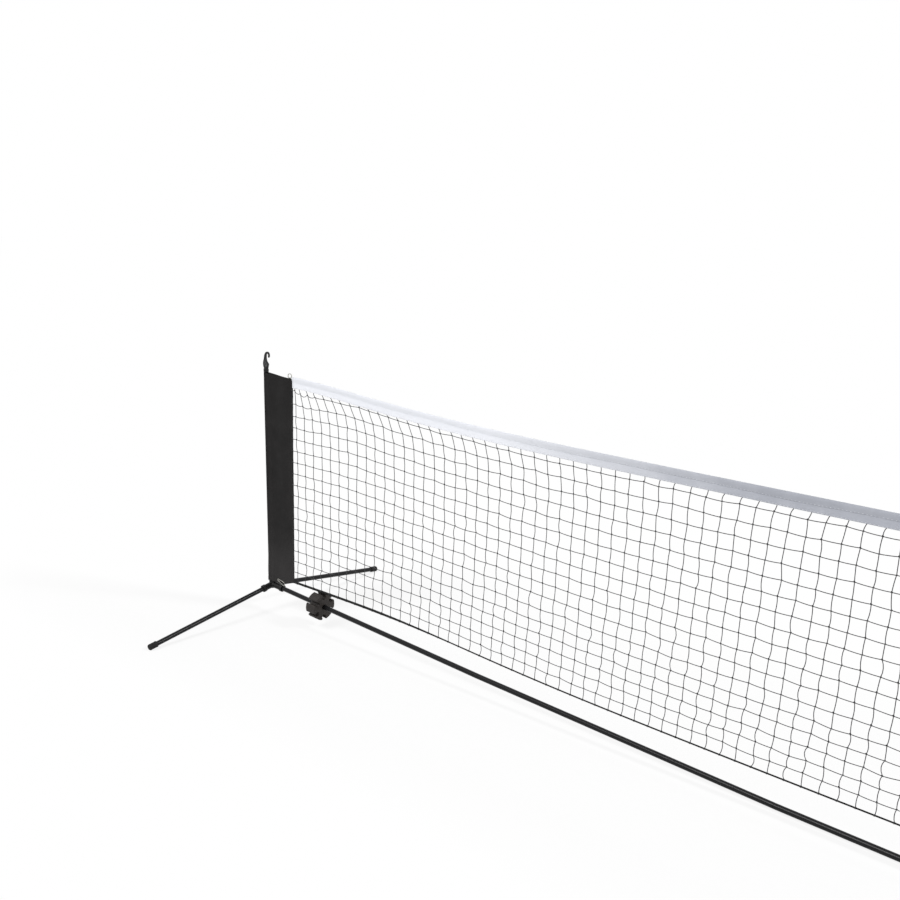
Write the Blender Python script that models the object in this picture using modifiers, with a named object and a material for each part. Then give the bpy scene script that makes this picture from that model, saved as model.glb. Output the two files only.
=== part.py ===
"""Mini tennis net: two identical stands, a jointed ground bar and a sagging net with a headband.

Metres, Z up. The origin is on the floor under the middle of the net, X runs along the net,
and the front of the net faces -Y. Each stand is modelled in its own frame: origin on the
floor under the post, X pointing in towards the net. The right stand is the left one turned
half a turn.
"""
import math

import bmesh
import bpy
from mathutils import Vector

# Layout
POST_SPACING = 5.8          # between the two post axes
HUB_Z = 0.088               # middle of the corner hub above the floor
POST_TOP_Z = 0.8605         # top end of the upper post tube with the net low
LEG_REACH = 0.516           # post axis to the outer end of a leg cap, along the floor

# Clearances
GAP = 0.0003                # between pieces that are pushed together or rest on each other
SLIDE_GAP = 0.00025         # round the upper post tube where it slides

# Steel tubes
TUBE_D = 0.016              # legs, ground bar and lower post
TUBE_WALL = 0.0008
UPPER_D = 0.0125            # upper post tube
UPPER_WALL = 0.0008
LOWER_POST_TOP_Z = 0.8      # mouth of the lower post tube

# Corner hub
ARM_D = 0.022               # sockets for the legs and the bar
COLLAR_D = 0.0262           # flared mouth of those sockets
COLLAR_LENGTH = 0.011
COLLAR_FLARE = 0.0035
ARM_ROOT = 0.003            # the arms start this far out, inside the core
POST_SOCKET_D = 0.025
POST_SOCKET_RISE = 0.05     # hub middle to the top of the post socket
LEG_ARM_LENGTH = 0.046      # hub middle to the mouth of a leg socket
BAR_ARM_LENGTH = 0.058
SOCKET_FLOOR = 0.016        # hub middle to the bottom of each socket
HUB_ROUND = 0.004
EDGE = 0.001                # small chamfer on moulded rims

# Leg caps
CAP_D = 0.0205
CAP_LENGTH = 0.03
CAP_FLOOR = 0.005           # solid end of the cap
CAP_ROUND = 0.003
CAP_LIP = 0.0006            # the mouth's bead stands this much proud
CAP_FLAT = 0.0012           # how far the end's middle drops to give the cap a flat to stand on

# Guides of the sliding post
LINER_LENGTH = 0.03
LINER_WALL = 0.00045
LINER_FLANGE = 0.0015
BUSH_HEAD = 0.006
BUSH_SHANK = 0.014

# Hook
HOOK_THICKNESS = 0.005
HOOK_FLANGE_D = 0.018
HOOK_FLANGE_RISE = 0.011
HOOK_NECK_D = 0.0152
HOOK_NECK_RISE = 0.016
HOOK_PLUG_LENGTH = 0.03
HOOK_WEB_RECESS = 0.0012
# Outline of the hook: inwards from the post axis and up from the flange
HOOK_OUTLINE = (
    (-0.0060, 0.0090), (-0.0115, 0.0175), (-0.0133, 0.0270), (-0.0115, 0.0380), (-0.0080, 0.0460),
    (-0.0066, 0.0540), (-0.0034, 0.0625), (0.0025, 0.0685), (0.0095, 0.0708), (0.0165, 0.0685),
    (0.0204, 0.0620), (0.0198, 0.0545), (0.0170, 0.0510), (0.0145, 0.0535), (0.0157, 0.0590),
    (0.0130, 0.0637), (0.0090, 0.0652), (0.0050, 0.0622), (0.0032, 0.0550), (0.0032, 0.0470),
    (0.0052, 0.0395), (0.0095, 0.0330), (0.0143, 0.0290), (0.0132, 0.0235), (0.0060, 0.0090),
)
HOOK_WEB = (
    (-0.0078, 0.0200), (-0.0098, 0.0275), (-0.0085, 0.0370), (-0.0042, 0.0450), (0.0005, 0.0445),
    (0.0020, 0.0375), (0.0065, 0.0305), (0.0100, 0.0270), (0.0080, 0.0215), (0.0000, 0.0180),
)

# Ground bar: three tubes from each hub to the middle
BAR_SECTIONS = 3
BAR_OUTER_DROP = 0.04       # from the hub to the first push joint
BAR_MIDDLE_DROP = 0.0285    # from there to the second one
PLUG_LENGTH = 0.02
PLUG_GAP = 0.00055          # radial play that lets the joints kink a little
PLUG_TAPER = 0.002

# Tube clip on the bar
CLIP_D = 0.094
CLIP_LENGTH = 0.042
CLIP_FROM_POST = 0.257
CLIP_CHANNELS = 6
CLIP_PITCH_R = 0.0345       # clip axis to the middle of a channel
CLIP_THROAT = 0.0115        # width of a channel's mouth
CLIP_LIP = 0.005            # rounding of the lobes at the mouths
CLIP_ROUND = 0.0012

# Fabric sleeve round the post
FABRIC = 0.0009
SLEEVE_TOP_Z = 0.8595
SLEEVE_TOP_FALL = 0.0075    # the top edge drops this much towards the net
SLEEVE_TOP_WIDTH = 0.1376   # post axis to the sleeve's inner edge
SLEEVE_FOOT_WIDTH = 0.118
SLEEVE_FOOT_Z = 0.1065
SLEEVE_FOOT_LIFT = 0.0155   # rise of the bottom edge at the inner corner
SLEEVE_FOOT_CURVE = 2.5     # how late the bottom edge turns up
SLEEVE_HALF = 0.0022        # half thickness of the flat part
SLEEVE_EDGE_ROUND = 0.8     # share of that left beside the inner edge
SLEEVE_RINGS = (0.0, 0.04, 0.09, 0.15, 0.5, 0.92, 1.0)  # shares of its height
POCKET_WRAP = math.radians(60.0)  # where the fabric leaves the post, from the net's side
POCKET_STEPS = 7
SLEEVE_TAPER_END = 0.07     # where the pocket has closed to the flat part
TAPER_STEPS = 4
SLEEVE_TOP_EASE = 0.0010    # fabric to the upper tube at the top edge
SLEEVE_MOUTH_EASE = 0.0004  # fabric to the lower tube's mouth
SLEEVE_MID_EASE = 0.0040    # fabric to the lower tube near the hub
SLEEVE_SOCKET_EASE = 0.0018 # fabric to the post socket at the foot
SLEEVE_RIM_EASE = 0.0013    # and above its rim
POCKET_OVERRUN = 0.010      # the pocket is cut this far past the sleeve's edges
SOCKET_COVER = 0.010        # the fabric keeps off the socket up to here above its rim
POCKET_CLOSE = 0.060        # and has closed on the lower tube here
MOUTH_COVER = 0.004         # the fabric turns to the upper tube above the mouth

# Headband tape
TAPE_TOP_Z = 0.8600
TAPE_HEIGHT = 0.0375
TAPE_BAND = 0.0010
TAPE_SLOT = 0.0032          # between its two faces, where the net is sewn in
TOP_CORD_D = 0.0052
TAPE_POINTS = 31

# Net
FIRST_COLUMN = 0.1478       # post axis to the first upright strand
COLUMNS = 131
COLUMNS_PER_BAY = 5         # the lattice keeps every fifth strand
BAYS_HIGH = 4
STRAND = 0.0024
NET_TOP_ROW_Z = 0.8457
TAPE_SAG = 0.0488
NET_SAG = 0.0520
FOOT_SAG = 0.0260
TAPE_KEEN = 9.0             # how soon the sag is reached: at the tape
NET_KEEN = 4.5              # and in the net
KEEN_DEPTH = 0.08           # share of the height over which one turns into the other
NET_SAG_DEPTH = 0.2         # share of the height over which the tape's sag becomes the net's
FOOT_SAG_DEPTH = 0.7        # from here down it becomes the bottom cord's

# Bottom cord
FOOT_CORD_D = 0.0065
FOOT_CORD_Z = 0.1226        # at the sleeve, before its lift
FOOT_LIFT = 0.015
FOOT_LIFT_AT = 0.634        # from the post axis
FOOT_LIFT_WIDTH = 0.436
FOOT_LIFT_FADE = 3          # how fast the lift fades up the net

# Small cord loops
LOOP_CORD_D = 0.0026
LOOP_WIDTH = 0.0134         # between the middles of its two sides
LOOP_RISE = 0.0165
LOOP_INSET = 0.0136         # from the sleeve's inner edge at the top
TIE_CORD_D = 0.0022
TIE_LENGTH = 0.039
TIE_WIDTH = 0.0095
TIE_FROM_POST = 0.040       # upper end of the tie loop
TIE_START_Z = 0.1185
TIE_LEAN = math.radians(-21.0)
LOOP_ARC = 3                # steps in a quarter turn of a loop

# Facets
TURN = 16
ARC = 4
TAPE_ARC = 7
MERGE = 0.00001

# Sizes that follow
HALF_SPACING = POST_SPACING / 2
TUBE_R = TUBE_D / 2
TUBE_BORE_R = TUBE_R - TUBE_WALL
UPPER_R = UPPER_D / 2
UPPER_BORE_R = UPPER_R - UPPER_WALL
SOCKET_R = TUBE_R + GAP
SOCKET_SEAT = SOCKET_FLOOR + GAP
LEG_SLOPE = math.atan2(HUB_Z - (CAP_D / 2 - CAP_FLAT), LEG_REACH)
LEG_LENGTH = math.hypot(HUB_Z - (CAP_D / 2 - CAP_FLAT), LEG_REACH)
BUSH_BASE_Z = HUB_Z + SOCKET_FLOOR + GAP
UPPER_BASE_Z = BUSH_BASE_Z + BUSH_HEAD + GAP
HOOK_BASE_Z = POST_TOP_Z + GAP
CELL_WIDTH = (POST_SPACING - 2 * FIRST_COLUMN) / (COLUMNS - 1)
LOOP_FROM_POST = SLEEVE_TOP_WIDTH - LOOP_INSET


def new_collection(name):
    """Makes a collection under the scene's own."""
    made = bpy.data.collections.new(name)
    bpy.context.scene.collection.children.link(made)
    return made


def clear_scene():
    """Removes whatever the scene holds."""
    for old in list(bpy.data.objects):
        bpy.data.objects.remove(old, do_unlink=True)


clear_scene()
PARTS = new_collection("mini_tennis_net")
CUTTERS = new_collection("cutters")
CUTTERS.hide_render = True


def finish(name, colour, roughness, metallic=0.0):
    """Principled material of one finish."""
    made = bpy.data.materials.new(name)
    made.use_nodes = True
    shader = made.node_tree.nodes["Principled BSDF"]
    shader.inputs["Base Color"].default_value = (*colour, 1.0)
    shader.inputs["Roughness"].default_value = roughness
    shader.inputs["Metallic"].default_value = metallic
    return made


PAINTED_STEEL = finish("black_painted_steel", (0.012, 0.012, 0.013), 0.35, 0.3)
HUB_PLASTIC = finish("black_moulded_nylon", (0.010, 0.010, 0.010), 0.5)
GUIDE_PLASTIC = finish("natural_nylon", (0.62, 0.60, 0.55), 0.45)
CLIP_PLASTIC = finish("brown_black_soft_plastic", (0.030, 0.027, 0.024), 0.6)
CAP_RUBBER = finish("black_rubber", (0.014, 0.014, 0.014), 0.8)
SLEEVE_FABRIC = finish("charcoal_oxford_fabric", (0.030, 0.029, 0.028), 0.85)
TAPE_FABRIC = finish("white_polyester_tape", (0.78, 0.79, 0.82), 0.8)
TWINE = finish("dark_grey_twine", (0.050, 0.050, 0.052), 0.8)
BLACK_CORD = finish("black_braided_cord", (0.012, 0.012, 0.012), 0.75)
PALE_CORD = finish("pale_braided_cord", (0.52, 0.50, 0.45), 0.8)


def evaluated_mesh(obj):
    """The object's mesh with its modifiers applied and its seams welded."""
    bpy.context.view_layer.update()
    graph = bpy.context.evaluated_depsgraph_get()
    mesh = bpy.data.meshes.new_from_object(obj.evaluated_get(graph))
    work = bmesh.new()
    work.from_mesh(mesh)
    bmesh.ops.remove_doubles(work, verts=work.verts, dist=MERGE)
    work.to_mesh(mesh)
    work.free()
    return mesh


def settle(obj):
    """Replaces the object's mesh with its evaluated one."""
    mesh = evaluated_mesh(obj)
    obj.modifiers.clear()
    obj.data = mesh
    mesh.shade_smooth()
    mesh.set_sharp_from_angle(angle=math.radians(35.0))
    return obj


def solid_from_curve(curve_object):
    """Turns a filled curve into a closed mesh object in the same place."""
    mesh = evaluated_mesh(curve_object)
    work = bmesh.new()
    work.from_mesh(mesh)
    bmesh.ops.recalc_face_normals(work, faces=work.faces)
    work.to_mesh(mesh)
    work.free()
    solid = bpy.data.objects.new(curve_object.name + "_solid", mesh)
    solid.matrix_world = curve_object.matrix_world
    PARTS.objects.link(solid)
    bpy.data.objects.remove(curve_object, do_unlink=True)
    return solid


def turned(name, outline, hollow=False):
    """Solid of revolution about Z from (radius, height) points, down its outer side first."""
    mesh = bpy.data.meshes.new(name)
    points = [(radius, 0.0, height) for radius, height in outline]
    edges = [(i, i + 1) for i in range(len(points) - 1)]
    if hollow:
        edges.append((len(points) - 1, 0))
    mesh.from_pydata(points, edges, [])
    obj = bpy.data.objects.new(name, mesh)
    PARTS.objects.link(obj)
    screw = obj.modifiers.new("Turn", "SCREW")
    screw.steps = TURN
    screw.render_steps = TURN
    screw.use_merge_vertices = True
    screw.merge_threshold = MERGE
    return obj


def combine(obj, tool, operation):
    """Joins or cuts with a Boolean and puts the tool among the cutters."""
    step = obj.modifiers.new(operation.title(), "BOOLEAN")
    step.operation = operation
    step.solver = "EXACT"
    step.object = tool
    PARTS.objects.unlink(tool)
    CUTTERS.objects.link(tool)
    tool.hide_render = True
    tool.display_type = "WIRE"


def quarter(centre, radius, start, points=ARC):
    """Points of a clockwise quarter circle in an outline, from an angle in degrees."""
    turns = [math.radians(start - 90.0 * i / (points - 1)) for i in range(points)]
    return [(centre[0] + radius * math.cos(a), centre[1] + radius * math.sin(a)) for a in turns]


def flat_outline(name, points, thickness, holes=(), bezier=False, resolution=3):
    """Plate in the XY plane from a closed outline, centred on Z, with holes."""
    curve = bpy.data.curves.new(name, "CURVE")
    curve.dimensions = "2D"
    curve.fill_mode = "BOTH"
    curve.extrude = thickness / 2
    curve.resolution_u = resolution
    for ring in (points, *holes):
        spline = curve.splines.new("BEZIER" if bezier else "POLY")
        spline.use_cyclic_u = True
        if bezier:
            spline.bezier_points.add(len(ring) - 1)
            for knot, (x, y) in zip(spline.bezier_points, ring):
                knot.co = (x, y, 0.0)
                knot.handle_left_type = "AUTO"
                knot.handle_right_type = "AUTO"
        else:
            spline.points.add(len(ring) - 1)
            for knot, (x, y) in zip(spline.points, ring):
                knot.co = (x, y, 0.0, 1.0)
    obj = bpy.data.objects.new(name, curve)
    PARTS.objects.link(obj)
    return obj


def cord(name, points, diameter):
    """Round cord along a list of points."""
    curve = bpy.data.curves.new(name, "CURVE")
    curve.dimensions = "3D"
    curve.bevel_depth = diameter / 2
    curve.bevel_resolution = 2
    curve.use_fill_caps = True
    spline = curve.splines.new("POLY")
    spline.points.add(len(points) - 1)
    for knot, point in zip(spline.points, points):
        knot.co = (*point, 1.0)
    obj = bpy.data.objects.new(name, curve)
    PARTS.objects.link(obj)
    return obj


def place(name, mesh, material, stand, location=(0.0, 0.0, 0.0), rotation=(0.0, 0.0, 0.0)):
    """One named piece that uses a mesh, set in a stand's frame."""
    obj = bpy.data.objects.new(name, mesh)
    PARTS.objects.link(obj)
    obj.parent = stand
    obj.location = location
    obj.rotation_euler = rotation
    if not mesh.materials:
        mesh.materials.append(material)
    return obj


def take_mesh(obj):
    """Keeps a settled object's mesh and removes the object."""
    mesh = obj.data
    bpy.data.objects.remove(obj, do_unlink=True)
    return mesh


def tube_mesh(name, start, end, outer_r, wall):
    """Open steel tube along Z."""
    bore_r = outer_r - wall
    outline = [(outer_r, end), (outer_r, start), (bore_r, start), (bore_r, end)]
    return take_mesh(settle(turned(name, outline, hollow=True)))


def bar_tube_mesh(name, start, shoulder, plug):
    """Ground bar tube along Z, with a swaged plug beyond its shoulder where it has one."""
    if not plug:
        return tube_mesh(name, start, shoulder, TUBE_R, TUBE_WALL)
    plug_r = TUBE_BORE_R - PLUG_GAP
    tip = shoulder + PLUG_LENGTH
    outline = [
        (plug_r - EDGE / 2, tip),
        (plug_r, tip - EDGE),
        (plug_r, shoulder),
        (TUBE_R, shoulder),
        (TUBE_R, start),
        (TUBE_BORE_R, start),
        (TUBE_BORE_R, shoulder - PLUG_TAPER),
        (plug_r - TUBE_WALL, shoulder),
        (plug_r - TUBE_WALL, tip - EDGE),
    ]
    return take_mesh(settle(turned(name, outline, hollow=True)))


def arm(name, length):
    """Round socket arm along Z: a blind bore and a flared collar at its mouth."""
    arm_r = ARM_D / 2
    collar_r = COLLAR_D / 2
    collar_base = length - COLLAR_LENGTH
    outline = [
        (0.0, SOCKET_FLOOR),
        (SOCKET_R, SOCKET_FLOOR),
        (SOCKET_R, length),
        (collar_r - EDGE, length),
        (collar_r, length - EDGE),
        (collar_r, collar_base),
        (arm_r, collar_base - COLLAR_FLARE),
        (arm_r, ARM_ROOT),
        (0.0, ARM_ROOT),
    ]
    return turned(name, outline)


def leg_turn(facing):
    """Rotation that lays Z along a leg: outwards and down, turned to face front or rear."""
    return (math.pi / 2 + LEG_SLOPE, 0.0, facing)


def bar_turn(slope):
    """Rotation that lays Z along the ground bar: inwards and down."""
    return (0.0, math.pi / 2 + slope, 0.0)


def bar_rest_z():
    """Height of the bar's axis in the middle, where the last joint lies on the floor."""
    inner_run = HALF_SPACING / BAR_SECTIONS
    drop = HUB_Z - BAR_OUTER_DROP - BAR_MIDDLE_DROP - TUBE_R
    return TUBE_R + PLUG_LENGTH * drop / inner_run


def bar_joint(index):
    """Point of the bar's axis in the stand's frame: the hub, the push joints, the middle."""
    heights = (
        HUB_Z,
        HUB_Z - BAR_OUTER_DROP,
        HUB_Z - BAR_OUTER_DROP - BAR_MIDDLE_DROP,
        bar_rest_z(),
    )
    return Vector((HALF_SPACING * index / BAR_SECTIONS, 0.0, heights[index]))


def bar_slope(index):
    """Downward slope of a bar section."""
    run = bar_joint(index + 1) - bar_joint(index)
    return math.atan2(-run.z, run.x)


def hub_mesh():
    """Corner hub: a post socket, two leg sockets and a bar socket on one moulding."""
    post_r = POST_SOCKET_D / 2
    foot = -post_r
    outline = [
        (0.0, SOCKET_FLOOR),
        (SOCKET_R, SOCKET_FLOOR),
        (SOCKET_R, POST_SOCKET_RISE),
        (post_r - EDGE, POST_SOCKET_RISE),
        (post_r, POST_SOCKET_RISE - EDGE),
        *quarter((post_r - HUB_ROUND, foot + HUB_ROUND), HUB_ROUND, 0.0),
        (0.0, foot),
    ]
    hub = turned("hub", outline)
    arms = (
        ("front_arm", LEG_ARM_LENGTH, leg_turn(0.0)),
        ("rear_arm", LEG_ARM_LENGTH, leg_turn(math.pi)),
        ("bar_arm", BAR_ARM_LENGTH, bar_turn(bar_slope(0))),
    )
    for name, length, rotation in arms:
        piece = arm(name, length)
        piece.rotation_euler = rotation
        combine(hub, piece, "UNION")
    return take_mesh(settle(hub))


def cap_mesh():
    """Leg cap along Z with its closed end at the leg's length and a flat cut at the floor."""
    cap_r = CAP_D / 2
    mouth = LEG_LENGTH - CAP_LENGTH
    floor = LEG_LENGTH - CAP_FLOOR
    outline = [
        (0.0, LEG_LENGTH),
        *quarter((cap_r - CAP_ROUND, LEG_LENGTH - CAP_ROUND), CAP_ROUND, 90.0),
        (cap_r, mouth + 3 * EDGE),
        (cap_r + CAP_LIP, mouth + 2 * EDGE),
        (cap_r + CAP_LIP, mouth + EDGE),
        (cap_r, mouth),
        (SOCKET_R, mouth),
        (SOCKET_R, floor),
        (0.0, floor),
    ]
    cap = turned("cap", outline)
    cap.location = (0.0, 0.0, HUB_Z)
    cap.rotation_euler = leg_turn(0.0)
    bpy.ops.mesh.primitive_cube_add(size=1.0)
    ground = bpy.context.object
    ground.name = "ground_cutter"
    for owner in list(ground.users_collection):
        owner.objects.unlink(ground)
    PARTS.objects.link(ground)
    ground.location = (0.0, -LEG_REACH, -0.5)
    combine(cap, ground, "DIFFERENCE")
    return take_mesh(settle(cap))


def liner_mesh():
    """Guide liner in the lower tube's mouth, with a flange on the tube's end."""
    inner_r = UPPER_R + SLIDE_GAP
    outer_r = inner_r + LINER_WALL
    seat = LOWER_POST_TOP_Z + GAP
    outline = [
        (TUBE_R - EDGE / 2, seat + LINER_FLANGE),
        (TUBE_R, seat + LINER_FLANGE - EDGE / 2),
        (TUBE_R, seat),
        (outer_r, seat),
        (outer_r, seat - LINER_LENGTH),
        (inner_r, seat - LINER_LENGTH),
        (inner_r, seat + LINER_FLANGE),
    ]
    return take_mesh(settle(turned("liner", outline, hollow=True)))


def bush_mesh():
    """Foot bush: a head that runs in the lower tube and a shank up inside the upper one."""
    head_r = TUBE_BORE_R - GAP
    shank_r = UPPER_BORE_R - GAP
    head_top = BUSH_BASE_Z + BUSH_HEAD
    outline = [
        (0.0, head_top + BUSH_SHANK),
        (shank_r - EDGE, head_top + BUSH_SHANK),
        (shank_r, head_top + BUSH_SHANK - EDGE),
        (shank_r, head_top),
        (head_r, head_top),
        (head_r, BUSH_BASE_Z + EDGE),
        (head_r - EDGE, BUSH_BASE_Z),
        (0.0, BUSH_BASE_Z),
    ]
    return take_mesh(settle(turned("bush", outline)))


def hook_mesh():
    """Moulded hook: a leaf with recessed webs, a flange, and a plug for the upper tube."""
    flange_r = HOOK_FLANGE_D / 2
    neck_r = HOOK_NECK_D / 2
    plug_r = UPPER_BORE_R - GAP
    outline = [
        (0.0, HOOK_NECK_RISE),
        (neck_r - EDGE, HOOK_NECK_RISE),
        (neck_r, HOOK_NECK_RISE - 2 * EDGE),
        (neck_r, HOOK_FLANGE_RISE + EDGE),
        (flange_r, HOOK_FLANGE_RISE),
        (flange_r, EDGE),
        (flange_r - EDGE, 0.0),
        (plug_r, 0.0),
        (plug_r, EDGE - HOOK_PLUG_LENGTH),
        (plug_r - EDGE, -HOOK_PLUG_LENGTH),
        (0.0, -HOOK_PLUG_LENGTH),
    ]
    hook = turned("hook", outline)
    leaf = flat_outline("leaf", HOOK_OUTLINE, HOOK_THICKNESS, bezier=True, resolution=2)
    leaf.rotation_euler = (math.pi / 2, 0.0, 0.0)
    bpy.context.view_layer.update()
    combine(hook, solid_from_curve(leaf), "UNION")
    for side in (-1.0, 1.0):
        web = flat_outline("web", HOOK_WEB, 2 * HOOK_WEB_RECESS, bezier=True, resolution=2)
        web.location = (0.0, side * HOOK_THICKNESS / 2, 0.0)
        web.rotation_euler = (math.pi / 2, 0.0, 0.0)
        bpy.context.view_layer.update()
        combine(hook, solid_from_curve(web), "DIFFERENCE")
    return take_mesh(settle(hook))


def clip_outline():
    """Six lobes between six round channels that open outwards."""
    rim = CLIP_D / 2
    throat = CLIP_THROAT / 2
    channel_r = SOCKET_R
    lip_v = throat + CLIP_LIP
    lip_u = math.sqrt(rim * rim - lip_v * lip_v)
    open_angle = math.asin(throat / channel_r)
    half = []
    for i in range(4):
        turn = math.radians(30.0 * i)
        half.append((lip_u - CLIP_LIP * (1.0 - math.cos(turn)), lip_v - CLIP_LIP * math.sin(turn)))
    for i in range(7):
        turn = open_angle + (math.pi - open_angle) * i / 6
        half.append((CLIP_PITCH_R + channel_r * math.cos(turn), channel_r * math.sin(turn)))
    channel = [(u, -v) for u, v in half] + [(u, v) for u, v in reversed(half[:-1])]
    lobe_step = (2 * math.pi / CLIP_CHANNELS - 2 * math.atan2(lip_v, lip_u)) / 4
    points = []
    for index in range(CLIP_CHANNELS):
        turn = 2 * math.pi * index / CLIP_CHANNELS
        for u, v in channel:
            points.append((u * math.cos(turn) - v * math.sin(turn), u * math.sin(turn) + v * math.cos(turn)))
        start = turn + math.atan2(lip_v, lip_u)
        for i in range(1, 4):
            points.append((rim * math.cos(start + lobe_step * i), rim * math.sin(start + lobe_step * i)))
    return points


def circle_points(radius, count):
    """Points round a circle about the origin."""
    turns = [2 * math.pi * i / count for i in range(count)]
    return [(radius * math.cos(a), radius * math.sin(a)) for a in turns]


def clip_mesh():
    """Star-shaped clip along Z: a bore for the bar and channels for the packed tubes."""
    bar_hole = circle_points(SOCKET_R, TURN)
    star = flat_outline("clip", clip_outline(), CLIP_LENGTH, holes=(bar_hole,))
    return take_mesh(settle(solid_from_curve(star)))


def sleeve_width(z):
    """Post axis to the sleeve's inner edge at a height."""
    share = (z - SLEEVE_FOOT_Z) / (SLEEVE_TOP_Z - SLEEVE_FOOT_Z)
    return SLEEVE_FOOT_WIDTH + (SLEEVE_TOP_WIDTH - SLEEVE_FOOT_WIDTH) * min(max(share, 0.0), 1.0)


def pocket_profile():
    """Inner radius of the sleeve's post pocket with height, from the foot up."""
    socket_top = HUB_Z + POST_SOCKET_RISE
    return [
        (SLEEVE_FOOT_Z - POCKET_OVERRUN, POST_SOCKET_D / 2 + SLEEVE_SOCKET_EASE),
        (socket_top + SOCKET_COVER, POST_SOCKET_D / 2 + SLEEVE_RIM_EASE),
        (socket_top + POCKET_CLOSE, TUBE_R + SLEEVE_MID_EASE),
        (LOWER_POST_TOP_Z + MOUTH_COVER, TUBE_R + SLEEVE_MOUTH_EASE),
        (SLEEVE_TOP_Z + POCKET_OVERRUN, UPPER_R + SLEEVE_TOP_EASE),
    ]


def pocket_radius(z):
    """Inner radius of the pocket at a height."""
    profile = pocket_profile()
    for (low_z, low_r), (high_z, high_r) in zip(profile, profile[1:]):
        if z <= high_z:
            return low_r + (high_r - low_r) * (z - low_z) / (high_z - low_z)
    return profile[-1][1]


def sleeve_taper(z):
    """Stations of the sleeve's front face from the pocket to the flat part, at a height."""
    radius = pocket_radius(z) + FABRIC
    start_x = radius * math.cos(POCKET_WRAP)
    start_y = -radius * math.sin(POCKET_WRAP)
    stations = []
    for i in range(TAPER_STEPS + 1):
        t = i / TAPER_STEPS
        ease = t * t * (3.0 - 2.0 * t)
        x = start_x + (SLEEVE_TAPER_END - start_x) * t
        stations.append((x, start_y + (-SLEEVE_HALF - start_y) * ease))
    return stations


def sleeve_front(x, z):
    """Y of the sleeve's front face beside the pocket."""
    stations = sleeve_taper(z)
    for (near_x, near_y), (far_x, far_y) in zip(stations, stations[1:]):
        if x <= far_x:
            return near_y + (far_y - near_y) * (x - near_x) / (far_x - near_x)
    return -SLEEVE_HALF


def sleeve_ring(share):
    """Front half of the sleeve's outline at a share of its height, outer edge to inner edge."""
    level = SLEEVE_FOOT_Z + (SLEEVE_TOP_Z - SLEEVE_FOOT_Z) * share
    radius = pocket_radius(level) + FABRIC
    width = sleeve_width(level)
    points = []
    for i in range(POCKET_STEPS):
        turn = math.pi - (math.pi - POCKET_WRAP) * i / POCKET_STEPS
        points.append((radius * math.cos(turn), -radius * math.sin(turn)))
    points += sleeve_taper(level)
    points.append((width - 2 * SLEEVE_HALF, -SLEEVE_HALF))
    points.append((width - SLEEVE_HALF / 2, -SLEEVE_HALF * SLEEVE_EDGE_ROUND))
    points.append((width, 0.0))
    ring = []
    for x, y in points:
        inward = max(x, 0.0)
        foot = SLEEVE_FOOT_Z + SLEEVE_FOOT_LIFT * (inward / SLEEVE_FOOT_WIDTH) ** SLEEVE_FOOT_CURVE
        top = SLEEVE_TOP_Z - SLEEVE_TOP_FALL * inward / SLEEVE_TOP_WIDTH
        ring.append((x, y, foot + (top - foot) * share))
    return ring


def sleeve_mesh():
    """Fabric sleeve: a pocket round the post that closes to two flat layers."""
    work = bmesh.new()
    rings = []
    for share in SLEEVE_RINGS:
        front = sleeve_ring(share)
        back = [(x, -y, z) for x, y, z in front[1:-1]]
        rings.append([work.verts.new(p) for p in front + back[::-1]])
    count = len(rings[0])
    for low, high in zip(rings, rings[1:]):
        for i in range(count):
            j = (i + 1) % count
            work.faces.new((low[i], low[j], high[j], high[i]))
    for ring in (rings[0], rings[-1]):
        for i in range(count // 2):
            quad = [ring[i], ring[i + 1], ring[-i - 1], ring[-i] if i else ring[0]]
            work.faces.new(list(dict.fromkeys(quad)))
    bmesh.ops.recalc_face_normals(work, faces=work.faces)
    mesh = bpy.data.meshes.new("sleeve")
    work.to_mesh(mesh)
    work.free()
    sleeve = bpy.data.objects.new("sleeve", mesh)
    PARTS.objects.link(sleeve)
    profile = pocket_profile()
    outline = [(0.0, profile[-1][0])]
    outline += [(radius, height) for height, radius in reversed(profile)]
    outline.append((0.0, profile[0][0]))
    combine(sleeve, turned("pocket", outline), "DIFFERENCE")
    return take_mesh(settle(sleeve))


def loop_route(length, width):
    """Nearly closed loop with round ends: (reach from its root, sideways) points."""
    half = width / 2
    root = math.pi - math.asin(2 * GAP / width)
    quarter = [i / LOOP_ARC for i in range(LOOP_ARC + 1)]
    near = [root + (math.pi / 2 - root) * share for share in quarter]
    near = [(half + half * math.cos(turn), half * math.sin(turn)) for turn in near]
    far = [math.pi / 2 * (1.0 - share) for share in quarter]
    far = [(length - half + half * math.cos(turn), half * math.sin(turn)) for turn in far]
    there = near + far
    return there + [(reach, -aside) for reach, aside in there[-2::-1]]


def cord_loop_points():
    """Upright loop that stands on the sleeve's top corner, in the stand's frame."""
    share = LOOP_FROM_POST / SLEEVE_TOP_WIDTH
    foot_z = SLEEVE_TOP_Z - SLEEVE_TOP_FALL * share + GAP + LOOP_CORD_D / 2
    route = loop_route(LOOP_RISE, LOOP_WIDTH)
    return [(LOOP_FROM_POST + aside, 0.0, foot_z + reach) for reach, aside in route]


def tie_loop_points():
    """Slack loop that lies on the sleeve's front and hangs past its foot, in the stand's frame."""
    start = Vector((TIE_FROM_POST, 0.0, TIE_START_Z))
    along = Vector((math.cos(TIE_LEAN), 0.0, math.sin(TIE_LEAN)))
    across = Vector((-math.sin(TIE_LEAN), 0.0, math.cos(TIE_LEAN)))
    points = []
    for reach, aside in loop_route(TIE_LENGTH, TIE_WIDTH):
        point = start + along * reach + across * aside
        point.y = sleeve_front(point.x, point.z) - TIE_CORD_D / 2 - GAP
        points.append(point)
    return points


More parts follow.
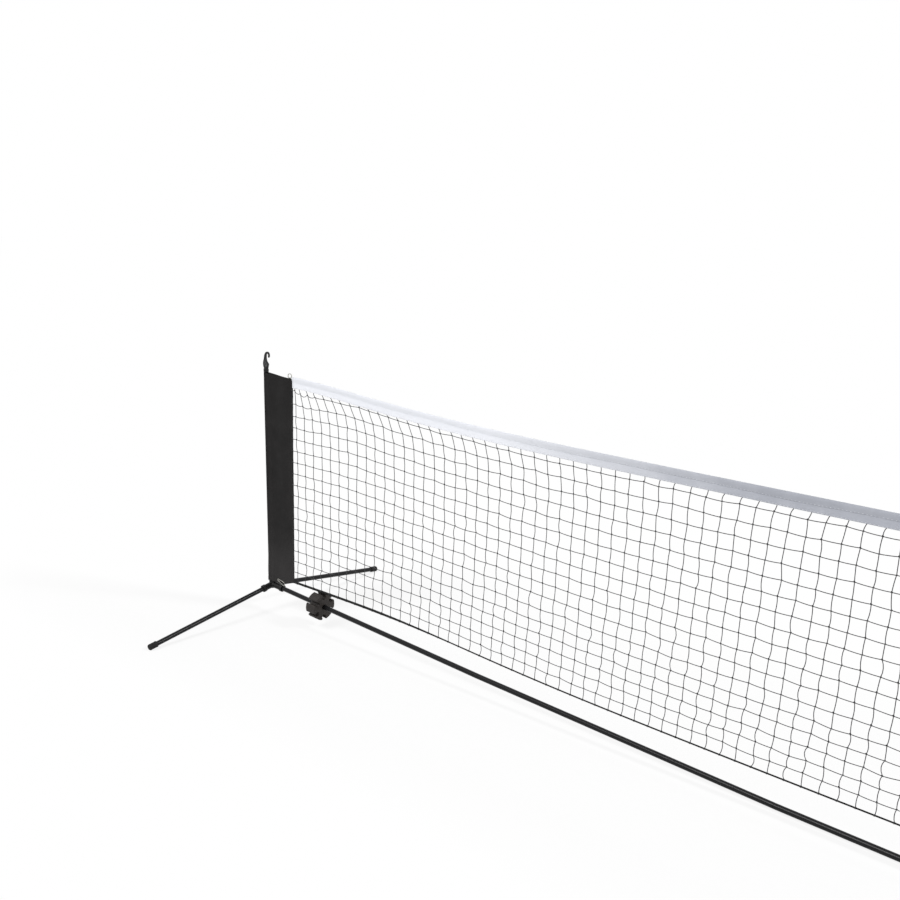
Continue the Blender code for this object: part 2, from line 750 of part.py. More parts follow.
def sag_share(x, keen):
    """0 at the sleeves, 1 in the middle: the share of the sag reached at a place."""
    reach = HALF_SPACING - SLEEVE_TOP_WIDTH
    way = min(max((reach - abs(x)) / reach, 0.0), 1.0)
    return 1.0 - (1.0 - way) ** keen * (1.0 + keen * way)


def bump(x, place_from_post, width):
    """Smooth local rise at one distance from either post."""
    away = HALF_SPACING - abs(x) - place_from_post
    return math.exp(-((away / width) ** 2))


def net_row(x, depth):
    """Height of a row of the net, at a share of its depth from the tape to the cord."""
    level = NET_TOP_ROW_Z + (FOOT_CORD_Z - NET_TOP_ROW_Z) * depth
    keen = NET_KEEN + (TAPE_KEEN - NET_KEEN) * math.exp(-depth / KEEN_DEPTH)
    sag = TAPE_SAG + (NET_SAG - TAPE_SAG) * min(depth / NET_SAG_DEPTH, 1.0)
    sag += (FOOT_SAG - NET_SAG) * max(depth - FOOT_SAG_DEPTH, 0.0) / (1.0 - FOOT_SAG_DEPTH)
    lift = FOOT_LIFT * bump(x, FOOT_LIFT_AT, FOOT_LIFT_WIDTH) * depth ** FOOT_LIFT_FADE
    return level - sag * sag_share(x, keen) + lift


def tape_top(x):
    """Height of the headband's top edge."""
    return TAPE_TOP_Z - TAPE_SAG * sag_share(x, TAPE_KEEN)


def spread(start, end, count):
    """Evenly spaced values from start to end."""
    return [start + (end - start) * i / (count - 1) for i in range(count)]


def tape_cord_depth():
    """From the tape's top edge down to the middle of the cord inside it."""
    return TOP_CORD_D / 2 + GAP + 2 * TAPE_BAND


def tape_section():
    """Folded tape in cross-section: Y across, Z up from its top edge."""
    half_slot = TAPE_SLOT / 2
    half_band = half_slot + TAPE_BAND
    cord_room = (TOP_CORD_D / 2 + GAP) / math.cos(math.pi / TAPE_ARC)
    outer_room = cord_room + TAPE_BAND
    centre = -tape_cord_depth()
    open_outer = math.asin(half_band / outer_room)
    open_inner = math.asin(half_slot / cord_room)
    outer = []
    inner = []
    for i in range(TAPE_ARC):
        turn = (open_outer - math.pi) * (1.0 - 2.0 * i / (TAPE_ARC - 1))
        outer.append((-outer_room * math.sin(turn), centre + outer_room * math.cos(turn)))
        turn = (open_inner - math.pi) * (1.0 - 2.0 * i / (TAPE_ARC - 1))
        inner.append((-cord_room * math.sin(turn), centre + cord_room * math.cos(turn)))
    edge = [(half_band, -TAPE_HEIGHT), *outer, (-half_band, -TAPE_HEIGHT)]
    return edge + [(-half_slot, -TAPE_HEIGHT), *inner[::-1], (half_slot, -TAPE_HEIGHT)]


def tape_mesh():
    """Headband tape swept along its sag."""
    end = HALF_SPACING - SLEEVE_TOP_WIDTH - GAP
    section = bpy.data.curves.new("tape_section", "CURVE")
    section.dimensions = "2D"
    ring = section.splines.new("POLY")
    ring.use_cyclic_u = True
    outline = tape_section()
    ring.points.add(len(outline) - 1)
    for knot, (y, z) in zip(ring.points, outline):
        knot.co = (y, z, 0.0, 1.0)
    section_object = bpy.data.objects.new("tape_section", section)
    CUTTERS.objects.link(section_object)
    path = [(x, 0.0, tape_top(x)) for x in spread(-end, end, TAPE_POINTS)]
    tape = cord("tape", path, TAPE_BAND)
    tape.data.bevel_mode = "OBJECT"
    tape.data.bevel_object = section_object
    tape.data.twist_mode = "Z_UP"
    return take_mesh(settle(solid_from_curve(tape)))


def kept_strands():
    """Places of the upright strands that the coarse lattice keeps."""
    strands = [FIRST_COLUMN + CELL_WIDTH * k for k in range(0, COLUMNS, COLUMNS_PER_BAY)]
    reach = HALF_SPACING - SLEEVE_TOP_WIDTH - CELL_WIDTH / 2
    return [x - HALF_SPACING for x in strands if abs(x - HALF_SPACING) < reach]


def foot_cord_end():
    """Where the bottom cord meets the sleeve's inner edge."""
    return HALF_SPACING - sleeve_width(FOOT_CORD_Z) - GAP


def lattice_place(column, row):
    """Place of one corner of the lattice: even and odd columns are a strand's two sides."""
    half = STRAND / 2
    strands = kept_strands()
    index = column // 2
    line = row // 2
    depth = line / BAYS_HIGH
    rise = half if row % 2 == 0 else -half
    if line == BAYS_HIGH:
        rise += FOOT_CORD_D / 2 + GAP + half
    if 0 < index <= len(strands):
        x = strands[index - 1] + (-half if column % 2 == 0 else half)
        return Vector((x, 0.0, net_row(x, depth) + rise))
    side = -1.0 if index == 0 else 1.0
    outside = (column % 2 == 0) == (index == 0)
    height = net_row(side * (HALF_SPACING - SLEEVE_TOP_WIDTH), depth)
    x = side * (HALF_SPACING - sleeve_width(height) - GAP - (0.0 if outside else STRAND))
    return Vector((x, 0.0, net_row(x, depth) + rise))


def lattice_mesh():
    """Coarse open lattice that carries the net's outline, sag and thickness."""
    across = 2 * len(kept_strands()) + 3
    high = 2 * BAYS_HIGH + 1
    work = bmesh.new()
    bmesh.ops.create_grid(work, x_segments=across, y_segments=high, size=0.5)
    corners = {}
    for vertex in work.verts:
        column = round((vertex.co.x + 0.5) * across)
        row = round((0.5 - vertex.co.y) * high)
        corners[vertex] = (column, row)
    bays = []
    for face in work.faces:
        column = min(corners[vertex][0] for vertex in face.verts)
        row = min(corners[vertex][1] for vertex in face.verts)
        if column % 2 and row % 2:
            bays.append(face)
    bmesh.ops.delete(work, geom=bays, context="FACES")
    for vertex, (column, row) in corners.items():
        vertex.co = lattice_place(column, row)
    mesh = bpy.data.meshes.new("net_mesh")
    work.to_mesh(mesh)
    work.free()
    net = bpy.data.objects.new("net_mesh", mesh)
    PARTS.objects.link(net)
    thick = net.modifiers.new("Strand thickness", "SOLIDIFY")
    thick.thickness = STRAND
    thick.offset = 0.0
    return net


def stand_frame(side, x, turn):
    """Empty on the floor under a post, X pointing in towards the net."""
    frame = bpy.data.objects.new(side + "_stand", None)
    frame.location = (x, 0.0, 0.0)
    frame.rotation_euler = (0.0, 0.0, turn)
    PARTS.objects.link(frame)
    return frame


def build_stands(frames):
    """Hubs, legs, posts, hooks, clips, sleeves and loops of both stands."""
    leg = tube_mesh("leg", SOCKET_SEAT, LEG_LENGTH - CAP_FLOOR - GAP, TUBE_R, TUBE_WALL)
    lower = tube_mesh("lower_post", HUB_Z + SOCKET_SEAT, LOWER_POST_TOP_Z, TUBE_R, TUBE_WALL)
    upper = tube_mesh("upper_post", UPPER_BASE_Z, POST_TOP_Z, UPPER_R, UPPER_WALL)
    hub = hub_mesh()
    cap = cap_mesh()
    liner = liner_mesh()
    bush = bush_mesh()
    hook = hook_mesh()
    clip = clip_mesh()
    sleeve = sleeve_mesh()
    loop = take_mesh(settle(solid_from_curve(cord("loop", cord_loop_points(), LOOP_CORD_D))))
    tie = take_mesh(settle(solid_from_curve(cord("tie", tie_loop_points(), TIE_CORD_D))))
    at_hub = (0.0, 0.0, HUB_Z)
    slope = bar_slope(0)
    clip_place = (CLIP_FROM_POST, 0.0, HUB_Z - CLIP_FROM_POST * math.tan(slope))
    for side, stand in frames.items():
        place(side + "_hub", hub, HUB_PLASTIC, stand, at_hub)
        for end in ("front", "rear"):
            facing = math.pi if (end == "rear") != (side == "right") else 0.0
            place(f"{side}_{end}_leg", leg, PAINTED_STEEL, stand, at_hub, leg_turn(facing))
            place(f"{side}_{end}_leg_cap", cap, CAP_RUBBER, stand, at_hub, leg_turn(facing))
        place(side + "_lower_post", lower, PAINTED_STEEL, stand)
        place(side + "_mouth_liner", liner, GUIDE_PLASTIC, stand)
        place(side + "_upper_post", upper, PAINTED_STEEL, stand)
        place(side + "_foot_bush", bush, GUIDE_PLASTIC, stand)
        place(side + "_hook", hook, HUB_PLASTIC, stand, (0.0, 0.0, HOOK_BASE_Z))
        place(side + "_tube_clip", clip, CLIP_PLASTIC, stand, clip_place, bar_turn(slope))
        place(side + "_sleeve", sleeve, SLEEVE_FABRIC, stand)
        place(side + "_cord_loop", loop, PALE_CORD, stand)
        place(side + "_tie_loop", tie, PALE_CORD, stand)


def build_bar(frames):
    """Ground bar: outer, middle and inner tubes from each hub to the middle."""
    names = ("outer", "middle", "inner")
    for side, stand in frames.items():
        for index, name in enumerate(names):
            start_point = bar_joint(index)
            length = (bar_joint(index + 1) - start_point).length
            start = SOCKET_SEAT if index == 0 else GAP - PLUG_LENGTH / 2
            last_right = side == "right" and index == BAR_SECTIONS - 1
            shoulder = length + PLUG_LENGTH / 2 - GAP if last_right else length - PLUG_LENGTH / 2
            tube = bar_tube_mesh(name, start, shoulder, not last_right)
            rotation = bar_turn(bar_slope(index))
            place(f"{side}_bar_{name}", tube, PAINTED_STEEL, stand, start_point, rotation)


def build_net():
    """The mesh, its headband, and the cords along its top and bottom."""
    lattice_mesh().data.materials.append(TWINE)
    place("headband_tape", tape_mesh(), TAPE_FABRIC, None)
    end = HALF_SPACING - SLEEVE_TOP_WIDTH - GAP
    route = [(x, 0.0, tape_top(x) - tape_cord_depth()) for x in spread(-end, end, TAPE_POINTS)]
    top_cord = cord("top_cord", route, TOP_CORD_D)
    top_cord.data.materials.append(PALE_CORD)
    foot_end = foot_cord_end()
    route = [(x, 0.0, net_row(x, 1.0)) for x in (-foot_end, *kept_strands(), foot_end)]
    foot_cord = cord("bottom_cord", route, FOOT_CORD_D)
    foot_cord.data.materials.append(BLACK_CORD)


def main():
    """Builds the whole net."""
    frames = {
        "left": stand_frame("left", -HALF_SPACING, 0.0),
        "right": stand_frame("right", HALF_SPACING, math.pi),
    }
    build_stands(frames)
    build_bar(frames)
    build_net()


main()
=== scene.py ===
"""Mini tennis net, dressed: painted tubes, moulded nylon, woven fabric, knotted twine and cords.

Metres, Z up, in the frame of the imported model: the origin is on the floor under the middle of the
net, X runs along the net and the front faces -Y.
"""

import math

import bmesh
import bpy
import numpy as np
from bpy.props import FloatProperty, FloatVectorProperty, IntProperty, PointerProperty
from mathutils import Matrix, Vector, noise


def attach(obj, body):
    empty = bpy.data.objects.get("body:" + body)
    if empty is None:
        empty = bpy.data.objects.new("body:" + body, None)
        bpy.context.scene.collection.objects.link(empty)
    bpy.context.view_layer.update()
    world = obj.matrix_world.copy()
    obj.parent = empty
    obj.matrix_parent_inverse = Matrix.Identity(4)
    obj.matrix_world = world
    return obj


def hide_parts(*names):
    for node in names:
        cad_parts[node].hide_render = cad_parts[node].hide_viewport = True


bl_info = {
    "name": "Mini Tennis Net",
    "version": (1, 0, 0),
    "blender": (4, 5, 0),
    "location": "3D View > Sidebar > Mini Net",
    "description": "Builds the dressed mini tennis net around its packed frame",
    "category": "Add Mesh",
}

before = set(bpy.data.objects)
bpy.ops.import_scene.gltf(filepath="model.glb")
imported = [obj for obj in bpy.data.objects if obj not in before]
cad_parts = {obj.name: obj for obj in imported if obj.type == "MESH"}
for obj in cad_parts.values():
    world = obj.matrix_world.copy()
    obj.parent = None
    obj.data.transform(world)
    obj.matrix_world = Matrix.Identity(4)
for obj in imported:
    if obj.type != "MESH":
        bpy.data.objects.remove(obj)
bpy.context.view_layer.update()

# The net's own plan, as in the frame
HALF_SPACING = 2.9
COLUMN_START = 0.1478       # from a post axis to the first upright strand
COLUMNS = 131
ROWS = 17                   # rows of knots between the tape and the bottom cord
ROW_TOP_Z = 0.8457          # where the strands end inside the tape, at the sleeves
FOOT_CORD_Z = 0.1226
TAPE_TOP_Z = 0.86
TAPE_HEIGHT = 0.0375
SLEEVE_FOOT_Z = 0.1065
SLEEVE_TOP_Z = 0.8595
SLEEVE_HEIGHT = SLEEVE_TOP_Z - SLEEVE_FOOT_Z
SLEEVE_TOP_WIDTH = 0.1376
SLEEVE_FOOT_WIDTH = 0.118
POST_TOP_Z = 0.8608

# Sag of the tape and the rows: depth in the middle, and how soon it is reached
TAPE_SAG, TAPE_KEEN = 0.0488, 9.0
NET_SAG, NET_KEEN = 0.0520, 4.5
FOOT_SAG = 0.0260
KEEN_DEPTH, NET_SAG_DEPTH, FOOT_SAG_DEPTH = 0.08, 0.2, 0.7
FOOT_LIFT, FOOT_LIFT_AT, FOOT_LIFT_WIDTH, FOOT_LIFT_FADE = 0.015, 0.634, 0.436, 3

# A slack patch in the upper rows near each sleeve: rise, places from the post, shares of the depth
SLACK_RISE, SLACK_AT, SLACK_WIDTH = 0.008, 0.4175, 0.154
SLACK_DEPTH, SLACK_SPREAD, SLACK_FROM_TAPE = 0.168, 0.342, 0.03

GAP = 0.0003                # kept between a soft piece and what it meets
SIDES = ("left", "right")
FACES = (-1.0, 1.0)         # front and rear
SMOOTH_ANGLE = math.radians(35.0)
WHITE = 1.0


def linear(hex_colour):
    """Linear red, green and blue of an sRGB hex colour."""
    channels = [int(hex_colour[i:i + 2], 16) / 255 for i in (0, 2, 4)]
    return tuple(c / 12.92 if c <= 0.04045 else ((c + 0.055) / 1.055) ** 2.4 for c in channels)


def colour_setting(name, description, hex_colour):
    """A colour that the user can change."""
    return FloatVectorProperty(
        name=name, description=description, default=linear(hex_colour),
        subtype="COLOR", size=3, min=0.0, max=1.0,
    )


def length_setting(name, description, default):
    """A length in metres that the user can change."""
    return FloatProperty(name=name, description=description, default=default, unit="LENGTH", min=0.0)


def angle_setting(name, description, degrees):
    """An angle that the user can change."""
    return FloatProperty(
        name=name, description=description, default=math.radians(degrees), subtype="ANGLE", unit="ROTATION",
    )


def strength_setting(name, description, default):
    """The strength of a light."""
    return FloatProperty(name=name, description=description, default=default)


class MiniNetSizes(bpy.types.PropertyGroup):
    """Sizes of the net's fine parts."""

    twine: length_setting("Twine", "Diameter of the net's twine", 0.0021)
    knot: length_setting("Knot", "Width of a knot in the twine", 0.0054)
    uneven: length_setting("Unevenness", "How far the knots stray from an even mesh", 0.0012)
    stitch: length_setting("Stitch", "Length of one stitch", 0.003)
    stitch_pitch: length_setting("Stitch pitch", "From one stitch to the next", 0.0045)
    fabric: length_setting("Fabric", "Thickness of the sleeve's fabric", 0.0007)
    tape: length_setting("Tape", "Thickness of the headband's tape", 0.0007)
    fold: length_setting("Folds", "Depth of the soft folds in the sleeve", 0.0026)
    tube_sides: IntProperty(name="Tube sides", description="Facets round a tube", default=32, min=12)


class MiniNetColours(bpy.types.PropertyGroup):
    """Colours of the finishes."""

    steel: colour_setting("Tubes", "Powder coat on the steel tubes", "0c0c0e")
    nylon: colour_setting("Hubs and hooks", "Moulded nylon", "101010")
    guide: colour_setting("Guides", "Natural nylon of the sliding guides", "d8d2c2")
    clip: colour_setting("Tube clips", "Foamed plastic of the tube clips", "1e1a18")
    # Painted sheen: the hooks' webs are drawn paler, as where light glints on them.
    web_dust: colour_setting("Hook web sheen", "Painted sheen in the hooks' webs", "464647")
    rubber: colour_setting("Leg caps", "Rubber", "101010")
    sleeve: colour_setting("Sleeves", "Woven polyester", "201f1f")
    tape: colour_setting("Headband", "Polyester tape", "f1f3f9")
    # Painted shade: the headband is drawn greyer away from the sleeves.
    dust: colour_setting("Headband painted shade", "Polyester tape where it has greyed", "adb0b9")
    twine: colour_setting("Twine", "Polyethylene twine", "1c1c1e")
    cord: colour_setting("Bottom cord", "Braided polypropylene", "0a0a0a")
    pale_cord: colour_setting("Pale cord", "Braided cotton", "b5b4ad")
    floor: colour_setting("Floor", "Floor and backdrop", "ffffff")


class MiniNetStage(bpy.types.PropertyGroup):
    """Camera and lamps."""

    eye: FloatVectorProperty(
        name="Camera", description="Where the camera stands", default=(-0.0392, -2.2490, 1.4675),
        subtype="TRANSLATION", unit="LENGTH", size=3,
    )
    pitch: angle_setting("Pitch", "How far the camera looks down", 13.7325)
    heading: angle_setting("Heading", "How far it is turned to the left of +Y", 41.8004)
    roll: angle_setting("Roll", "Tilt of the horizon", 0.6168)
    lens: FloatProperty(name="Lens", description="Focal length in millimetres", default=42.25, min=1.0)
    key: strength_setting("Key lamp", "Strength of the key lamp", 1.6)
    fill: strength_setting("Fill lamp", "Strength of the fill lamp", 0.3)
    rear: strength_setting("Rear lamp", "Strength of the lamp behind the net", 1.3)
    sky: strength_setting("Sky", "Strength of the even light all round", 0.25)


MATERIALS = {}


def node(tree, kind, output=None, inputs=(), **settings):
    """Adds a shader node with its settings, values and links, and gives it or one of its outputs."""
    made = tree.nodes.new("ShaderNode" + kind)
    for name, value in settings.items():
        setattr(made, name, value)
    for name, value in dict(inputs).items():
        if isinstance(value, bpy.types.NodeSocket):
            tree.links.new(value, made.inputs[name])
        else:
            made.inputs[name].default_value = value
    return made if output is None else made.outputs[output]


def empty_tree(owner):
    """The cleared node tree of a material or world."""
    owner.use_nodes = True
    owner.node_tree.nodes.clear()
    return owner.node_tree


def per_metre(millimetres):
    """Scale of a noise pattern whose grain is this many millimetres."""
    return 1000.0 / millimetres


def wave_scale(pitch):
    """Scale of a wave pattern with one thread per pitch: its bands lie 2 pi / (20 scale) apart."""
    return math.pi / 10.0 / pitch


def shade(colour, times=1.0):
    """A colour for a socket, so many times as bright."""
    return (*(min(c * times, 1.0) for c in colour), 1.0)


def mottle(tree, place, colour, millimetres, times):
    """A colour that grows paler in soft patches of a size, and the patches."""
    size = {"Vector": place, "Scale": per_metre(millimetres), "Detail": 3.0}
    patches = node(tree, "TexNoise", "Fac", size)
    tones = {"Factor": patches, "A": shade(colour), "B": shade(colour, times)}
    return node(tree, "Mix", "Result", tones, data_type="RGBA"), patches


def fine_grain(tree, place, millimetres, depth, detail=2.0):
    """Normals of a skin with a fine uneven grain."""
    size = {"Vector": place, "Scale": per_metre(millimetres), "Detail": detail}
    height = node(tree, "TexNoise", "Fac", size)
    return node(tree, "Bump", "Normal", {"Height": height, "Distance": depth})


def weave(tree, place, pitch, across="X", along="Z"):
    """Height of a plain weave: two crossing sets of threads."""
    waves = {"Vector": place, "Scale": wave_scale(pitch), "Distortion": 0.3}
    warp = node(tree, "TexWave", "Fac", waves, bands_direction=across)
    weft = node(tree, "TexWave", "Fac", waves, bands_direction=along)
    return node(tree, "Math", "Value", {0: warp, 1: weft}, operation="MULTIPLY")


def powder_coated_steel(tree, place, colours):
    """Steel tube, powder coated: satin black with a slight orange peel that frays highlights."""
    tone, wear = mottle(tree, place, colours.steel, 40.0, 1.35)
    return {
        "Base Color": tone, "IOR": 1.5, "Specular IOR Level": 0.2,
        "Roughness": node(tree, "MapRange", "Result", {"Value": wear, "To Min": 0.26, "To Max": 0.36}),
        "Normal": fine_grain(tree, place, 1.6, 0.00006, 1.0),
    }


RECESS = "recess"            # a mesh attribute of the hooks: 1 in their webs, where a sheen is painted


def moulded_nylon(tree, place, colours):
    """Glass-filled nylon, moulded: near black, dull and finely grained, with a painted sheen that makes the
    hooks' webs paler.
    """
    bare_tone, patches = mottle(tree, place, colours.nylon, 12.0, 1.5)
    patches = node(tree, "MapRange", "Result", {"Value": patches, "To Min": 0.5, "To Max": 1.5})
    # The webs get a painted sheen, in soft patches.
    recess = node(tree, "Attribute", "Fac", attribute_name=RECESS)
    share = node(tree, "Math", "Value", {0: patches, 1: recess}, operation="MULTIPLY")
    tones = {"Factor": share, "A": bare_tone, "B": shade(colours.web_dust)}
    return {
        "Base Color": node(tree, "Mix", "Result", tones, data_type="RGBA"),
        "Roughness": 0.5, "IOR": 1.53, "Specular IOR Level": 0.25,
        "Normal": fine_grain(tree, place, 0.7, 0.00008),
    }


def natural_nylon(tree, place, colours):
    """Unpigmented nylon, turned: milky and slightly glossy, with fine tool marks round it."""
    waves = {"Vector": place, "Scale": wave_scale(0.0006283), "Distortion": 0.4}
    marks = node(tree, "TexWave", "Fac", waves, bands_direction="Z")
    return {
        "Base Color": mottle(tree, place, colours.guide, 6.0, 1.06)[0],
        "Roughness": 0.38, "IOR": 1.53,
        "Normal": node(tree, "Bump", "Normal", {"Height": marks, "Distance": 0.00002}),
    }


def foamed_plastic(tree, place, colours):
    """Closed-cell foamed plastic, moulded: brown-black and matte, with a soft pitted skin."""
    # Real cells are 0.2 mm. They are drawn 0.8 mm wide so that they show.
    cells = node(tree, "TexVoronoi", "Distance", {"Vector": place, "Scale": per_metre(0.8)})
    return {
        "Base Color": mottle(tree, place, colours.clip, 9.0, 2.0)[0],
        "Roughness": 0.62, "IOR": 1.49, "Specular IOR Level": 0.35,
        "Normal": node(tree, "Bump", "Normal", {"Height": cells, "Distance": 0.00012, "Strength": 0.7}),
    }


def cured_rubber(tree, place, colours):
    """Cured black rubber, moulded: no gloss, with a powdery bloom in patches."""
    tone, bloom = mottle(tree, place, colours.rubber, 7.0, 2.0)
    return {
        "Base Color": tone, "IOR": 1.52, "Specular IOR Level": 0.3,
        "Roughness": node(tree, "MapRange", "Result", {"Value": bloom, "To Min": 0.68, "To Max": 0.9}),
        "Normal": fine_grain(tree, place, 0.9, 0.00006),
    }


def woven_polyester(tree, place, colours):
    """600 denier polyester, plain woven: charcoal and dull, paler where worn and towards its foot."""
    # The threads lie 0.5 mm apart. They are drawn 1.5 mm apart so that they show.
    threads = weave(tree, place, 0.0015)
    patches = {"Vector": place, "Scale": per_metre(60.0), "Detail": 4.0}
    worn = {"Value": node(tree, "TexNoise", "Fac", patches), "From Min": 0.35, "From Max": 0.7}
    worn = node(tree, "MapRange", "Result", worn)
    height = node(tree, "SeparateXYZ", "Z", {"Vector": place})
    dust = {"Value": height, "From Min": 0.32, "From Max": 0.16, "To Max": 0.75}
    dust = node(tree, "MapRange", "Result", dust)
    share = node(tree, "Math", "Value", {0: threads, 1: worn, 2: dust}, operation="MULTIPLY_ADD")
    tones = {"Factor": share, "A": shade(colours.sleeve), "B": shade(colours.sleeve, 2.8)}
    return {
        "Base Color": node(tree, "Mix", "Result", tones, data_type="RGBA"),
        "Roughness": 0.85, "IOR": 1.5, "Specular IOR Level": 0.16,
        "Normal": node(tree, "Bump", "Normal", {"Height": threads, "Distance": 0.00025, "Strength": 0.8}),
    }


PAINTED_LIGHT = "paler"              # a mesh attribute of the tape, for painted light: how much paler than at its seam, 0 to 1


def polyester_tape(tree, place, colours):
    """Polyester tape, woven: cool white and ribbed, with painted shade that greys it away from the sleeves.
    """
    along = node(tree, "SeparateXYZ", "X", {"Vector": place})
    along = node(tree, "Math", "Value", {0: along}, operation="ABSOLUTE")
    # Painted shade, greying the tape from the sleeves towards the middle, in soft spots.
    reach = node(tree, "MapRange", "Result", {"Value": along, "From Min": 1.9, "From Max": 1.1})
    patches = {"Vector": place, "Scale": per_metre(70.0), "Detail": 3.0}
    spots = {"Value": node(tree, "TexNoise", "Fac", patches), "To Min": 0.75, "To Max": 1.25}
    spots = node(tree, "MapRange", "Result", spots)
    painted_shade = node(tree, "Math", "Value", {0: reach, 1: spots}, operation="MULTIPLY")
    tones = {"Factor": painted_shade, "A": shade(colours.tape), "B": shade(colours.dust)}
    tone = node(tree, "Mix", "Result", tones, data_type="RGBA")
    # Painted light by depth: highlight along the top edge, shade at the seam, light through the single
    # layer below.
    paler = node(tree, "Attribute", "Fac", attribute_name=PAINTED_LIGHT)
    paler = node(tree, "MapRange", "Result", {"Value": paler, "To Min": 1.0, "To Max": 1.11})
    # Ribs of 0.6 mm are drawn 1.2 mm apart so that they show.
    ribs = weave(tree, place, 0.0012)
    return {
        "Base Color": node(tree, "VectorMath", "Vector", {0: tone, "Scale": paler}, operation="SCALE"),
        "Roughness": 0.75, "IOR": 1.5,
        "Normal": node(tree, "Bump", "Normal", {"Height": ribs, "Distance": 0.0002, "Strength": 0.6}),
    }


def twisted_twine(tree, place, colours):
    """Polyethylene twine, twisted and resin dipped: dark grey, with a hard dull gloss."""
    waves = {"Vector": place, "Scale": wave_scale(0.0016)}
    lay = node(tree, "TexWave", "Fac", waves, bands_direction="DIAGONAL")
    return {
        "Base Color": mottle(tree, place, colours.twine, 25.0, 1.6)[0],
        "Roughness": 0.55, "IOR": 1.51,
        "Normal": node(tree, "Bump", "Normal", {"Height": lay, "Distance": 0.0002}),
    }


def braided_cord(tree, place, colour, times):
    """Braided cord: dull, with small strands that cross over each other."""
    strands = weave(tree, place, 0.0022, "DIAGONAL", "Y")
    tones = {"Factor": strands, "A": shade(colour), "B": shade(colour, times)}
    return {
        "Base Color": node(tree, "Mix", "Result", tones, data_type="RGBA"),
        "Roughness": 0.72, "IOR": 1.5, "Specular IOR Level": 0.25,
        "Normal": node(tree, "Bump", "Normal", {"Height": strands, "Distance": 0.0005}),
    }


def sewing_thread(tree, place, colour):
    """Polyester sewing thread, spun: a little glossier than the fabric it holds."""
    return {"Base Color": mottle(tree, place, colour, 3.0, 1.2)[0], "Roughness": 0.5, "IOR": 1.5}


def make_material(name, finish, *values):
    """New material: a finish gives its shader's sockets, from places on the object in metres."""
    MATERIALS[name] = bpy.data.materials.new(name)
    tree = empty_tree(MATERIALS[name])
    place = node(tree, "TexCoord", "Object")
    shader = node(tree, "BsdfPrincipled", "BSDF", finish(tree, place, *values))
    node(tree, "OutputMaterial", inputs={"Surface": shader})


def make_materials(colours):
    """Every finish of the net."""
    for finish in (
        powder_coated_steel, moulded_nylon, natural_nylon, foamed_plastic, cured_rubber,
        woven_polyester, polyester_tape, twisted_twine,
    ):
        make_material(finish.__name__, finish, colours)
    make_material("braided_polypropylene", braided_cord, colours.cord, 2.0)
    make_material("braided_cotton", braided_cord, colours.pale_cord, 1.3)
    make_material("dark_sewing_thread", sewing_thread, [c * 0.7 for c in colours.sleeve])
    make_material("white_sewing_thread", sewing_thread, colours.tape)


def show(name, mesh, material, body, replaced=()):
    """Puts a mesh in the scene as a piece that rides on a body."""
    mesh.name = name
    mesh.materials.clear()
    mesh.materials.append(MATERIALS[material])
    obj = bpy.data.objects.new(name, mesh)
    bpy.context.scene.collection.objects.link(obj)
    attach(obj, body)
    if replaced:
        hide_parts(*replaced)
    return obj


def smooth(mesh):
    """Shades a mesh smooth apart from its sharp edges."""
    mesh.shade_smooth()
    mesh.set_sharp_from_angle(angle=SMOOTH_ANGLE)
    return mesh


def dress(node_name, material):
    """Gives a CAD node that keeps its solid its finish."""
    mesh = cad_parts[node_name].data
    mesh.materials.clear()
    mesh.materials.append(MATERIALS[material])
    smooth(mesh)


def mesh_of(points, faces):
    """Mesh from points and faces, with its faces pointing out."""
    mesh = bpy.data.meshes.new("mesh")
    mesh.from_pydata([tuple(p) for p in points], [], [tuple(int(i) for i in f) for f in faces])
    work = bmesh.new()
    work.from_mesh(mesh)
    bmesh.ops.recalc_face_normals(work, faces=work.faces)
    work.to_mesh(mesh)
    work.free()
    return smooth(mesh)


def mark(mesh, name, values):
    """Gives a mesh an attribute for its material: one value per point."""
    mesh.attributes.new(name, "FLOAT", "POINT").data.foreach_set("value", values)


def grid_faces(rows, columns, wrap=False):
    """Quads between rows of points. With wrap, each row is a ring."""
    across = columns if wrap else columns - 1
    i = np.arange(rows - 1)[:, None] * columns
    j = np.arange(across)[None, :]
    k = (j + 1) % columns
    return np.stack([i + j, i + k, i + columns + k, i + columns + j], -1).reshape(-1, 4)


def round_turn(steps):
    """Angles of evenly spaced steps round a full turn."""
    return 2 * np.pi * np.arange(steps) / steps


def sweep(path, radius, sides, side=(0.0, 1.0, 0.0), closed=False):
    """Points and faces of a round strand along a path that never runs along its side direction."""
    path = np.asarray(path, float)
    ahead = np.roll(path, -1, 0) - np.roll(path, 1, 0) if closed else np.gradient(path, axis=0)
    ahead /= np.linalg.norm(ahead, axis=1)[:, None]
    across = np.cross(ahead, np.array(side))
    across /= np.linalg.norm(across, axis=1)[:, None]
    up = np.cross(across, ahead)
    turns = round_turn(sides)[None, :, None]
    radii = np.broadcast_to(np.asarray(radius, float), (len(path),))[:, None, None]
    ring = np.cos(turns) * across[:, None, :] + np.sin(turns) * up[:, None, :]
    points = (path[:, None, :] + radii * ring).reshape(-1, 3)
    faces = [tuple(f) for f in grid_faces(len(path), sides, wrap=True)]
    last = (len(path) - 1) * sides
    if closed:
        faces += [(last + j, last + (j + 1) % sides, (j + 1) % sides, j) for j in range(sides)]
    else:
        faces += [tuple(range(sides))[::-1], tuple(last + j for j in range(sides))]
    return points, faces


def gather(parts):
    """Joins (points, faces) pairs into one."""
    points, faces, first = [], [], 0
    for some_points, some_faces in parts:
        points.append(np.asarray(some_points, float))
        faces += [tuple(int(i) + first for i in face) for face in some_faces]
        first += len(some_points)
    return np.concatenate(points), faces


def stand_floor(side):
    """The floor under a post."""
    return Vector((-HALF_SPACING if side == "left" else HALF_SPACING, 0.0, 0.0))


